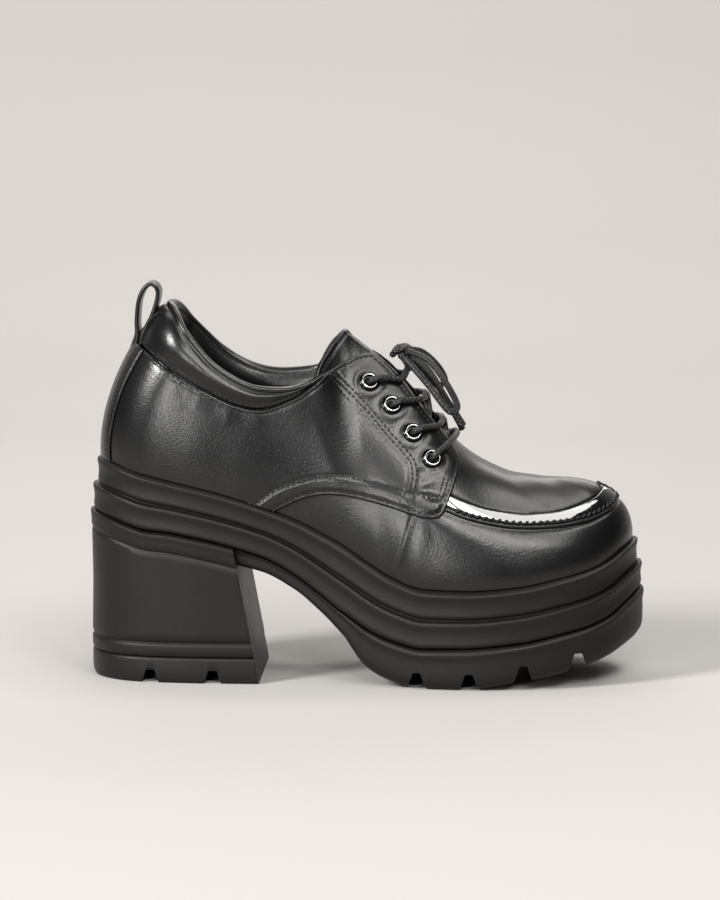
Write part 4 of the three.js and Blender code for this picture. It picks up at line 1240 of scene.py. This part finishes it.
# The pull loop: a flat strap folded over itself, with both ends sewn in at the top of the backstay.
# It is of the same leather, and its legs lie close against the heel.
loop_width, loop_thickness, loop_foot = 15.0, 2.1, heel_height - 7
loop_rows = [
    (0.0735, 0.54), (0.0815, 0.6), (0.0885, 0.655), (0.0905, 0.735), (0.0938, 0.81), (0.103, 0.868),
    (0.116, 0.893), (0.1262, 0.874), (0.1286, 0.838), (0.1225, 0.775), (0.1115, 0.705), (0.098, 0.655),
    (0.09, 0.6), (0.082, 0.54),
]
loop_points = [(x * shoe_length - origin_x, 0, loop_foot + z * instep_height) for x, z in loop_rows]
route = smooth_route(loop_points, 1.2)
tangent = unit(np.gradient(route, axis=0))
out_way = np.cross(tangent, [0, 1.0, 0])
section_turn = np.linspace(0, 2 * np.pi, 36, endpoint=False)
across = np.sign(np.cos(section_turn)) * np.abs(np.cos(section_turn)) ** 0.25 * loop_width / 2
thick = np.sign(np.sin(section_turn)) * np.abs(np.sin(section_turn)) ** 0.6 * loop_thickness / 2
verts = route[:, None] + across[None, :, None] * np.array([0, 1.0, 0])
verts = verts + thick[None, :, None] * out_way[:, None]
hugging = 1 - np.clip((route[:, 2] - 145) / 14, 0, 1)
verts[:, :, 0] += 0.045 * hugging[:, None] * across**2
faces = tube_faces(len(route), len(section_turn)) + tube_ends(len(route), len(section_turn))
pull_loop = closed_piece("pull_loop_strap", verts.reshape(-1, 3), faces)
pull_loop.data.materials.append(black_leather)
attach(pull_loop, "root")
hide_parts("pull_loop")

# The tongue: a lightly padded leather flap under the throat, with a turned edge that stands over the facings.
# It bends softly over the ridge, and a row of stitches follows its edge.
tongue_out, tongue_in = -2.3, -4.9


def tongue_field(params):
    return inside_distance(tongue_outline, side_view(params))


def arched(params, out):
    """Points off the last with its ridge rounded over, as a soft flap bends there."""
    point, normal = surface(params)
    normal[:, 1] *= 1 - np.exp(-((point[:, 1] / 5) ** 2))
    normal = unit(normal)
    rim = np.exp(-(np.maximum(tongue_field(params), 0) / 14) ** 2)
    near_top = np.clip((params[:, 1] - 0.72) / 0.2, 0, 1)
    lifted = 2.8 * rim * near_top * near_top * (3 - 2 * near_top)
    rounding = 1.9 * np.exp(-(((1 - params[:, 1]) / 0.06) ** 2)) * np.clip(11 - np.abs(params[:, 0]), 0, 1)
    return point + normal * np.reshape(out + lifted - rounding, (-1, 1)), normal


whole = patch(np.arange(-15, 15.01, 0.06), np.linspace(0.2, 1, 130))
params, tris = trimmed(*whole, tongue_field, (0.15, 0.4, 0.9, 1.4, 2.2))
d = np.maximum(tongue_field(params), 0)
turned = 1 - edge_roll(d, 1.4)
tongue = leather_shell(
    "tongue_flap", params, tris,
    tongue_out - 1.2 * turned - 0.3 * trough(d, 2.4, 0.6), tongue_in + 1.2 * turned,
    arched,
)
tongue.data.materials.append(black_leather)
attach(tongue, "root")
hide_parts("tongue")

# The apron: a domed band of mirror-bright patent leather, and outside it the raised seam, rolled and whipped.
# Both are sewn to the vamp round the toe, below the plug's rounded edge.
patent, nodes, links, shader = plain_material("patent_leather", (0.004, 0.004, 0.0045), 0.06)
shader.inputs["Specular IOR Level"].default_value = 0.7
shader.inputs["Coat Weight"].default_value = 1.0
shader.inputs["Coat Roughness"].default_value = 0.03
bump(nodes, links, noise(nodes, links, 260, 3), 0.12, 0.0003, shader.inputs["Normal"])


def toe_patch(field, edges):
    halves = [patch(sign * np.arange(7.5, 15.01, 0.04), np.linspace(0.25, 1, 140)) for sign in (1, -1)]
    params = np.vstack([halves[0][0], halves[1][0]])
    tris = np.vstack([halves[0][1], halves[1][1] + len(halves[0][0])])
    return trimmed(*joined_patch(params, tris), field, edges)


def band_field(params):
    return inside_distance(band_outline, side_view(params))


params, tris = toe_patch(band_field, (0.15, 0.4, 0.8, 1.2, 1.8, 2.6))
d = np.maximum(band_field(params), 0)
height = 0.1 + 0.95 * edge_roll(d, 0.7) + 0.2 * edge_roll(d, 2.4)
band = leather_shell("apron_band_patent", params, tris, height, 0.04)
band.data.materials.append(patent)
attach(band, "root")
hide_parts("apron_band")

seam_outline = np.vstack([seam_low, seam_high[::-1]])


def seam_field(params):
    return inside_distance(seam_outline, side_view(params))


params, tris = toe_patch(seam_field, (0.12, 0.3, 0.6, 0.9))
d = np.maximum(seam_field(params), 0)
from_low = from_line(seam_low, side_view(params))
height = 0.1 + 1.1 * edge_roll(d, 0.7) + 0.25 * trough(from_low, 0.6, 0.4)
seam = leather_shell("apron_seam_roll", params, tris, height, 0.04)
seam.data.materials.append(black_leather)
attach(seam, "root")
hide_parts("apron_seam")

# Stitches and eyelets: one Geometry Nodes tree sets copies of a shape on points that carry their directions.
# The stitches are of black waxed thread, sewn through the leather in rows.
repeat = bpy.data.node_groups.new("repeat_on_points", "GeometryNodeTree")
repeat.interface.new_socket("Geometry", in_out="INPUT", socket_type="NodeSocketGeometry")
shape_input = repeat.interface.new_socket("Shape", in_out="INPUT", socket_type="NodeSocketObject")
size_input = repeat.interface.new_socket("Size", in_out="INPUT", socket_type="NodeSocketVector")
finish_input = repeat.interface.new_socket("Finish", in_out="INPUT", socket_type="NodeSocketMaterial")
repeat.interface.new_socket("Geometry", in_out="OUTPUT", socket_type="NodeSocketGeometry")
nodes, links = repeat.nodes, repeat.links
start, end = nodes.new("NodeGroupInput"), nodes.new("NodeGroupOutput")
shape = nodes.new("GeometryNodeObjectInfo")
turn = nodes.new("FunctionNodeAxesToRotation")
turn.primary_axis, turn.secondary_axis = "X", "Z"
for attribute, socket in (("along", "Primary Axis"), ("up", "Secondary Axis")):
    read = nodes.new("GeometryNodeInputNamedAttribute")
    read.data_type = "FLOAT_VECTOR"
    read.inputs["Name"].default_value = attribute
    links.new(read.outputs["Attribute"], turn.inputs[socket])
spread = nodes.new("GeometryNodeInstanceOnPoints")
real = nodes.new("GeometryNodeRealizeInstances")
coat = nodes.new("GeometryNodeSetMaterial")
links.new(start.outputs["Shape"], shape.inputs["Object"])
links.new(start.outputs["Geometry"], spread.inputs["Points"])
links.new(shape.outputs["Geometry"], spread.inputs["Instance"])
links.new(turn.outputs["Rotation"], spread.inputs["Rotation"])
links.new(start.outputs["Size"], spread.inputs["Scale"])
links.new(spread.outputs["Instances"], real.inputs["Geometry"])
links.new(real.outputs["Geometry"], coat.inputs["Geometry"])
links.new(start.outputs["Finish"], coat.inputs["Material"])
links.new(coat.outputs["Geometry"], end.inputs["Geometry"])


def copies(name, shape_piece, size, finish, spots, alongs, ups):
    """A plain mesh of copies of a shape, at points in millimetres with their own directions."""
    holder = piece_of(name + "_points", spots, [])
    for attribute, values in (("along", alongs), ("up", ups)):
        layer = holder.data.attributes.new(attribute, "FLOAT_VECTOR", "POINT")
        layer.data.foreach_set("vector", np.asarray(values, np.float32).ravel())
    modifier = holder.modifiers.new("copies", "NODES")
    modifier.node_group = repeat
    modifier[shape_input.identifier] = shape_piece
    modifier[size_input.identifier] = size
    modifier[finish_input.identifier] = finish
    bpy.context.view_layer.update()
    evaluated = holder.evaluated_get(bpy.context.evaluated_depsgraph_get())
    mesh = bpy.data.meshes.new_from_object(evaluated)
    mesh.shade_smooth()
    mesh.name = name
    piece = bpy.data.objects.new(name, mesh)
    bpy.context.scene.collection.objects.link(piece)
    bpy.data.objects.remove(holder)
    return piece


def row_on(params, pitch, out, place=surface, start=None):
    """Evenly spaced points of a line on the last, with their directions along and outwards."""
    point, normal = place(params, out)
    far = gone_along(point)
    at = np.arange(pitch / 2 if start is None else start, far[-1], pitch)
    spots = between(at, far, point)
    return spots, unit(np.gradient(spots, axis=0)), unit(between(at, far, normal))


def together(rows):
    """Rows of stitches taken as one: spots, ways along and ways up."""
    return [np.vstack([row[k] for row in rows]) for k in range(3)]


def side_row(line, pitch, out):
    return together([row_on(find_on_last(sign, line), pitch, out) for sign in (1, -1)])


def beside(line, shift):
    """An open side view line moved sideways."""
    way = np.gradient(line, axis=0)
    way /= np.linalg.norm(way, axis=1)[:, None]
    return line + shift * np.stack([-way[:, 1], way[:, 0]], 1)


thread, nodes, links, shader = plain_material("thread", (0.004, 0.004, 0.0042), 0.55)
shader.inputs["Specular IOR Level"].default_value = 0.35
bump(nodes, links, noise(nodes, links, 1800), 0.5, 0.0002, shader.inputs["Normal"])

# One stitch: a short length of thread, one unit long and wide, whose ends go down into their holes
stitch_rings, stitch_corners = 6, 8
verts = []
for k in range(1, stitch_rings + 1):
    lean = math.pi * k / (stitch_rings + 1)
    for c in range(stitch_corners):
        turn_c = 2 * math.pi * c / stitch_corners
        r = 500 * math.sin(lean) ** 0.55
        sag = 260 * math.cos(lean) ** 2
        verts.append((-500 * math.cos(lean), r * math.cos(turn_c), r * math.sin(turn_c) - sag))
faces = tube_faces(stitch_rings, stitch_corners) + tube_ends(stitch_rings, stitch_corners)
one_stitch = closed_piece("one_stitch", verts, faces)

stitch_pitch, stitch_size = 2.5, (0.0020, 0.00078, 0.00062)
facing_line = np.vstack([rounded(line_up(facing_top), 40)[1:], rounded(line_up(facing_front), 120)[1:]])
facing_row = beside(facing_line, -1.9)
foot_row = beside(rounded(line_up(quarter_foot), 90), -1.9)
side_lines = {
    "facing_stitches": (np.vstack([facing_row[:-2], foot_row[1:-6]]), 1.62),
    "second_stitches": (second_line, 1.7),
    "stay_stitches": (stay_line, 1.62),
    "stay_stitches_behind": (beside(stay_line, 1.9), 1.62),
    "collar_seam_stitches": (beside(seam_side_line[12:-2], -1.3), 1.68),
    "collar_stitches": (beside(seam_side_line[12:-4], 1.4), 1.5),
}
stitch_rows = {}
for name, (line, out) in side_lines.items():
    stitch_rows[name] = stitch_size, side_row(line, stitch_pitch, out)

# More rows: the tongue's turned edge, the lining under the mouth, the backstay's edges and the bar across
# the facing's foot. The whip stitches stand thick and slanting over the apron's seam.
tongue_edge = beside(rounded(line_up(tongue_rim[2:-1]), 60), -2.4)
edge_rows = []
for sign in (1, -1):
    edge_rows.append(row_on(find_on_last(sign, tongue_edge[:-1]), 2.3, tongue_out, arched, 1))
stitch_rows["tongue_stitches"] = stitch_size, together(edge_rows)

around = np.arange(-7.0, 7.01, 0.05)
lining_t = np.interp(around, places, top_t - 3.4 * t_per_mm)
lined = row_on(np.stack([around, lining_t], 1), 2.2, -3.05)
stitch_rows["lining_stitches"] = stitch_size, (lined[0], lined[1], -lined[2])

edge_rows = []
for sign in (1, -1):
    heights = np.linspace(0.02, 0.86, 90)
    w = np.zeros(len(heights))
    w_range = np.linspace(0, 5, 251)
    for i, t in enumerate(heights):
        y = np.abs(surface(np.stack([sign * w_range, np.full(len(w_range), t)], 1))[0][:, 1])
        w[i] = sign * np.interp(backstay_width / 2 - 2.1, y, w_range)
    params = np.stack([w, heights], 1)
    params = params[backstay_field(params) > 1.5]
    edge_rows.append(row_on(params, 2.3, backstay_lift + backstay_thickness - 0.1))
stitch_rows["backstay_stitches"] = stitch_size, together(edge_rows)

bar_line = rounded([(166.6, 91.5), (165, 85.6), (162.6, 79.4)], 12)
bars = [side_row(beside(bar_line, -shift), 1.6, 1.68) for shift in (3.4, 5.2)]
stitch_rows["bar_stitches"] = (0.0014, 0.001, 0.0006), together(bars)

whips = side_row(seam_high[12:-1] + [0, 0.75], 3.1, 1.25)
whip_way = unit(np.cross(whips[2], whips[1]) * 0.55 + whips[1] * 0.85)
stitch_rows["apron_whip_stitches"] = (0.0029, 0.00125, 0.0011), (whips[0], whip_way, whips[2])
for name, (size, places_and_ways) in stitch_rows.items():
    row = copies(name, one_stitch, size, thread, *places_and_ways)
    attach(row, "root")
bpy.data.objects.remove(one_stitch)

# The eyelets: black rolled-rim rings, turned on a lathe and set at eight seats, with a painted highlight: a
# pale silver ring on the rim's inner edge.
# One ring is copied to all of them, square to the leather.
eyelet_metal, nodes, links, shader = plain_material("eyelet_metal", (0.02, 0.02, 0.021), 0.16, 1.0)
# Painted highlight: a pale silver base colour on the rim's inner edge stands in for the light it catches; the
# rest is the black metal.
painted_lip_highlight = nodes.new("ShaderNodeAttribute")
painted_lip_highlight.attribute_name = "painted_lip_highlight"
painted_highlight_mix = nodes.new("ShaderNodeMix")
painted_highlight_mix.data_type = "RGBA"
painted_highlight_mix.inputs["A"].default_value = (0.018, 0.018, 0.019, 1)
painted_highlight_mix.inputs["B"].default_value = (0.62, 0.61, 0.6, 1)
links.new(painted_lip_highlight.outputs["Fac"], painted_highlight_mix.inputs["Factor"])
links.new(painted_highlight_mix.outputs["Result"], shader.inputs["Base Color"])
spread_out(nodes, links, noise(nodes, links, 900), 0.1, 0.28, shader.inputs["Roughness"])

# distance from the middle, height over the seat, share of the painted highlight colour on the rim
eyelet_profile = [
    (4.7, -0.5, 0), (4.68, -0.15, 0), (4.5, 0.15, 0), (4.2, 0.36, 0), (3.85, 0.5, 0), (3.62, 0.62, 0.1),
    (3.52, 0.82, 1), (3.36, 0.97, 1), (3.16, 0.98, 1), (3.02, 0.86, 1), (2.95, 0.62, 0.3), (2.9, 0.3, 0),
    (2.88, -1.2, 0), (2.88, -3.2, 0), (3.4, -3.2, 0), (3.4, -0.5, 0),
]
eyelet_sides = 44
verts, faces, painted_lip_highlights = [], [], []
for r, h, bright in eyelet_profile:
    for c in range(eyelet_sides):
        turn_c = 2 * math.pi * c / eyelet_sides
        verts.append((1000 * r * math.cos(turn_c), 1000 * r * math.sin(turn_c), 1000 * h))
        painted_lip_highlights.append(bright)
rows_round = len(eyelet_profile)
for i in range(rows_round):
    for j in range(eyelet_sides):
        k, up = (j + 1) % eyelet_sides, (i + 1) % rows_round
        low, high = i * eyelet_sides, up * eyelet_sides
        faces.append((low + j, low + k, high + k, high + j))
one_eyelet = piece_of("one_eyelet", verts, faces)
one_eyelet.data.attributes.new("painted_lip_highlight", "FLOAT", "POINT").data.foreach_set("value", painted_lip_highlights)
face_outwards(one_eyelet)
seat_lift = gap + quarter_thickness + 0.4
seat_points, seat_normals = surface(np.vstack([seats[1], seats[-1]]), seat_lift)
seat_along = unit(np.cross([0, 1.0, 0], seat_normals))
eyelets = copies(
    "eyelet_rings", one_eyelet, (0.001, 0.001, 0.001), eyelet_metal, seat_points, seat_along, seat_normals
)
bpy.data.objects.remove(one_eyelet)
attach(eyelets, "root")
eyelet_names = ["eyelet_%s_%d" % (side_name, n) for side_name in ("outer", "inner") for n in (1, 2, 3, 4)]
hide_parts(*eyelet_names)

# The lace: from each eyelet a strand runs forward over the facing's edge. The first pair rises to the knot,
# the next two pairs go down between the facings, and the last is one bar across.
strand_ends = [(146, 132.8), (152.4, 124.1), (160, 113), (167.4, 109.7)]


def ridge_point(s, lift):
    """Point of the last's ridge at a distance from the sole's back."""
    u_range = np.linspace(first_on_ridge, last_section, 400)
    ridge = surface(np.stack([u_range, np.ones(400)], 1), lift)[0]
    return between(s - origin_x, ridge[:, 0], ridge)


strand_routes = []
for n in range(4):
    for sign in (1, -1):
        seat, normal = surface(seats[sign][n:n + 1], seat_lift)
        seat, normal = seat[0], normal[0]
        seen_seat = np.array([seat[0] + origin_x, seat[2]])
        turned_in = np.array(strand_ends[n]) - seen_seat
        halfway = find_on_last(sign, [seen_seat + turned_in * k for k in (0.45, 0.72)])
        over = surface(halfway, 3.5)[0]
        first_way = unit(over[0] - seat)
        rim = seat + first_way * 3.0 + normal * 2.45
        start = [seat - normal * 3.0 - first_way * 0.6, seat - normal * 0.2 + first_way * 0.2,
                 seat + normal * 1.5 + first_way * 1.3, rim, over[0], over[1]]
        s = strand_ends[n][0]
        if n == 0:
            ahead = ridge_point(s - 1, 4.2) + [0, -sign * 4.6, 0]
            tip = knot_at + [-0.6, -sign * 1.6, -1.8]
            strand_routes.append([*start, ahead, (ahead + tip) / 2 + [1.2, -sign * 0.8, 0], tip])
        elif n == 3:
            if sign == 1:
                bar_start = start
            else:
                strand_routes.append([*bar_start, ridge_point(s - 1.5, 3.2), *start[::-1]])
        else:
            lift = 2.3 if sign == 1 else -0.6
            strand_routes.append([
                *start, ridge_point(s, 1.6) + [0, -sign * 7.2, -0.4], ridge_point(s + 0.8, lift),
                ridge_point(s + 1.6, 0.2) + [0, sign * 7, -1.4],
                ridge_point(s + 2, -0.8) + [0, sign * 11.6, -2.6],
            ])
strands = cord_piece("lace_strands", [smooth_route(points, 0.6) for points in strand_routes], lace_radius)
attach(strands, "root")
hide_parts("lace_crossing_1", "lace_crossing_2", "lace_crossing_3", "lace_bar")

# The studio: a warm pale paper sweep, a long strip light above the toe's side, and soft boxes in front,
# at the heel's side and behind. Their places follow the highlights on the leather in the photograph.
paper, nodes, links, shader = plain_material("paper_sweep", (0.385, 0.371, 0.358), 0.9)
shader.inputs["Specular IOR Level"].default_value = 0.15
sweep_rows = [
    (-0.75, 0.0), (0.9, 0.0), (1.15, 0.02), (1.4, 0.1), (1.6, 0.28), (1.72, 0.55), (1.76, 1.0), (1.76, 4.0),
]
sweep_verts = [(x, y * 1000, z * 1000) for y, z in sweep_rows for x in (-4000, 4000)]
sweep_faces = [(2 * i, 2 * i + 1, 2 * i + 3, 2 * i + 2) for i in range(len(sweep_rows) - 1)]
sweep = piece_of("sweep", sweep_verts, sweep_faces)
sweep.data.materials.append(paper)


def soft_light(name, place, aim, size, power, colour):
    lamp = bpy.data.lights.new(name, "AREA")
    lamp.shape = "RECTANGLE"
    lamp.size, lamp.size_y = size
    lamp.energy = power
    lamp.color = colour
    light = bpy.data.objects.new(name, lamp)
    light.location = place
    light.rotation_euler = (Vector(place) - Vector(aim)).to_track_quat("Z", "Y").to_euler()
    bpy.context.scene.collection.objects.link(light)


soft_light("key_box", (0.87, -0.82, 1.79), (0.12, -0.82, 0.08), (2.6, 0.42), 26, (1, 0.985, 0.965))
soft_light("toe_box", (0.76, -1.26, 1.35), (0.12, 0, 0.08), (0.6, 0.5), 10, (1, 0.985, 0.965))
soft_light("front_box", (0.26, -2.16, 1.46), (0.1, 0, 0.1), (0.7, 0.4), 27, (1, 0.985, 0.965))
soft_light("low_box", (-0.81, -2.4, 0.5), (0.02, 0, 0.12), (0.5, 0.5), 21, (1, 0.985, 0.97))
soft_light("side_box", (-1.77, -1.45, 1.45), (0.02, 0, 0.12), (0.6, 0.7), 104, (1, 0.985, 0.97))
soft_light("back_box", (0.1, 1.2, 0.85), (0.1, 0, 0.1), (1.2, 0.35), 5, (1, 0.985, 0.965))
soft_light("paper_light", (0.0, 0.55, 1.7), (0.1, 1.7, 0.35), (1.6, 0.4), 17, (1, 0.985, 0.965))
world = bpy.data.worlds.new("studio")
world.use_nodes = True
world.node_tree.nodes["Background"].inputs["Color"].default_value = (0.9, 0.885, 0.86, 1)
world.node_tree.nodes["Background"].inputs["Strength"].default_value = 0.035
bpy.context.scene.world = world
bpy.context.scene.view_settings.view_transform = "Standard"
